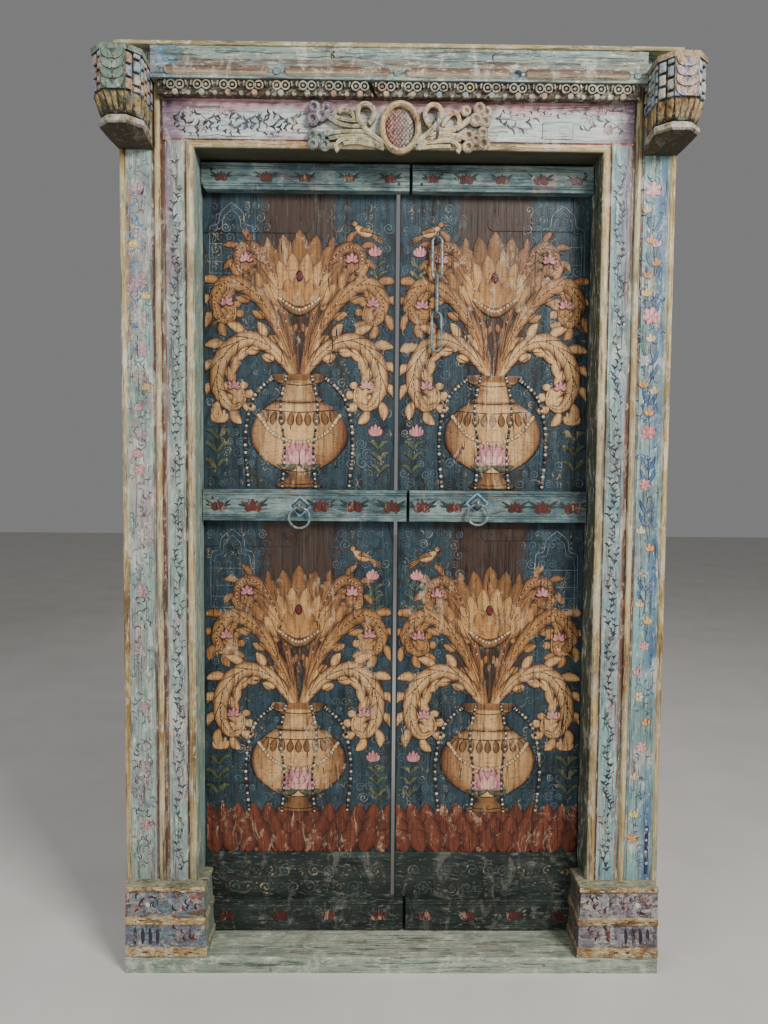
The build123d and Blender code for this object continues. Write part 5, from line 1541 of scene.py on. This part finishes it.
PANEL_PAINT = paint_layer("panel_painting", 0.64, 0.0008)
BRUSH_PAINT = paint_layer("brush_painting", 0.66, 0.0004)
IRON = iron_finish("iron", (72, 80, 80), (112, 126, 128), (156, 164, 160), (104, 84, 66))
NAIL_IRON = iron_finish("nail_iron", (40, 36, 34), (66, 60, 56), (92, 84, 76), (84, 58, 42))
CAPITAL_PAINT = capital_paint()
TONGUE_PAINT = tongue_paint()
FINISHES = by_name((
    ("threshold", sill_paint()), ("lintel lintel_patch", lintel_timber()), ("header_beam", bare_timber()),
    ("frieze", frieze_paint()), ("cornice_board cornice_cap cornice_buttons", cornice_timber()),
    ("cornice_bars", bar_paint()), ("crest", crest_paint()), ("inner_jamb pilaster", side_timber()),
    ("capital", CAPITAL_PAINT), ("plinth_inner plinth_outer", plinth_paint()),
    ("stile board_1 board_2 board_3 top_strap middle_strap bottom_strap", board_paint()),
    ("top_rail middle_rail",
     rail_paint("rail_paint", (46, 62, 66), (82, 110, 114), (134, 156, 152), rgb(148, 116, 110))),
    ("bottom_rail kick_board",
     rail_paint("low_rail_paint", (16, 24, 22), (34, 46, 42), (56, 68, 62), rgb(60, 58, 50)))))

# Width of the worn edge, in millimetres, on the nodes whose edges are sharp in the CAD
SOFT_EDGES = by_name((
    ("plinth_inner plinth_outer", 2.2), ("threshold", 2.0), ("top_rail middle_rail bottom_rail", 1.5),
    ("lintel board_1 board_2 board_3", 1.2), ("cornice_board stile kick_board", 1.0), ("capital", 0.9),
    ("lintel_patch inner_jamb pilaster", 0.8), ("cornice_bars", 0.6),
    ("top_strap middle_strap bottom_strap", 0.5)))
WELD = 0.02
SHARP = math.radians(35)


def dress(node, piece):
    """Gives a CAD node its finish and soft, worn edges."""
    name = node.removesuffix("_left").removesuffix("_right")
    piece.data.materials.clear()
    piece.data.materials.append(FINISHES.get(name, IRON))
    if name in SOFT_EDGES:
        weld = piece.modifiers.new("join_faces", "WELD")
        weld.merge_threshold = WELD * MM
        bevel = piece.modifiers.new("worn_edges", "BEVEL")
        bevel.width = SOFT_EDGES[name] * MM
        bevel.segments = 2
        bevel.limit_method = "ANGLE"
        bevel.angle_limit = SHARP
        bevel.harden_normals = False


for node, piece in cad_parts.items():
    dress(node, piece)

for side_name, sign in SIDES.items():
    marks = Marks(strap_ground(side_name))
    if side_name == "right":
        marks.low_field = behind_chain()
    x0, x1 = sorted((sign * HALF_OPENING, span(f"board_3_{side_name}")[0 if sign > 0 else 1]))
    middle = (x0 + x1) / 2
    panel(marks, middle, span(f"middle_rail_{side_name}")[3], span(f"top_rail_{side_name}")[2], -sign, 0)
    panel(marks, middle, span(f"kick_board_{side_name}")[3], span(f"middle_rail_{side_name}")[2], -sign,
          PETAL_BASE)
    marks.piece(f"panel_painting_{side_name}", f"{side_name}_leaf", PANEL_PAINT, "panel_paint")
    paint_rails(side_name)
    paint_kick_board(side_name)
    carved_capital(side_name)
    paint_plinth(side_name)
    nail_heads(side_name)
paint_bands()


# Camera, at the photograph's viewing angle

CAMERA_PLACE = Vector((-0.0465, -1.8132, 1.1687))
YAW = math.radians(0.62)
PITCH = math.radians(3.18)
ROLL = math.radians(0.46)
FOCAL_PIXELS = 790.0
IMAGE_HEIGHT = 1024.0
SENSOR = 36.0
ahead = Vector((math.sin(YAW) * math.cos(PITCH), math.cos(YAW) * math.cos(PITCH), -math.sin(PITCH)))
level = Vector((math.cos(YAW), -math.sin(YAW), 0.0))
upward = level.cross(ahead)
across = level * math.cos(ROLL) + upward * math.sin(ROLL)
up = upward * math.cos(ROLL) - level * math.sin(ROLL)
lens = bpy.data.cameras.new("camera")
lens.sensor_fit = "VERTICAL"
lens.sensor_height = SENSOR
lens.lens = FOCAL_PIXELS / IMAGE_HEIGHT * SENSOR
camera = new_object("camera", lens)
camera.matrix_world = Matrix((
    (across.x, up.x, -ahead.x, CAMERA_PLACE.x),
    (across.y, up.y, -ahead.y, CAMERA_PLACE.y),
    (across.z, up.z, -ahead.z, CAMERA_PLACE.z),
    (0, 0, 0, 1)))
bpy.context.scene.camera = camera


# Floor and light

def floor():
    """Large pale floor."""
    mesh = bpy.data.meshes.new("floor")
    size = 12.0
    mesh.from_pydata([(-size, -size, 0), (size, -size, 0), (size, size, 0), (-size, size, 0)], [],
                     [(0, 1, 2, 3)])
    finish = Finish("floor", 0.85)
    tone = finish.noise(3, (1, 1, 1), 4, 0.6)
    finish.colour = finish.ramp(tone, (0.3, 206, 202, 196), (0.7, 216, 212, 206))
    mesh.materials.append(finish.done(()))
    new_object("floor", mesh)


def lamp(name, place, aim, size, power, tint=(1.0, 1.0, 1.0)):
    """Soft square lamp that looks at a place."""
    light = bpy.data.lights.new(name, "AREA")
    light.shape = "RECTANGLE"
    light.size = size[0]
    light.size_y = size[1]
    light.energy = power
    light.color = tint
    piece = new_object(name, light)
    piece.location = place
    piece.rotation_euler = (Vector(aim) - Vector(place)).to_track_quat("-Z", "Y").to_euler()


floor()
lamp("key", (1.9, -2.6, 3.3), (0.0, 0.0, 1.1), (1.2, 1.2), 178, (1.0, 0.98, 0.95))
lamp("fill", (-2.6, -2.4, 1.8), (0.0, 0.0, 1.0), (2.2, 2.2), 58, (0.94, 0.97, 1.0))
lamp("rear", (-1.5, 3.2, 3.0), (0.0, 0.0, 1.0), (2.0, 2.0), 16)
world = bpy.data.worlds.new("studio")
world.use_nodes = True
world.node_tree.nodes["Background"].inputs["Color"].default_value = (0.86, 0.86, 0.87, 1)
world.node_tree.nodes["Background"].inputs["Strength"].default_value = 0.24
bpy.context.scene.world = world

bpy.context.view_layer.update()
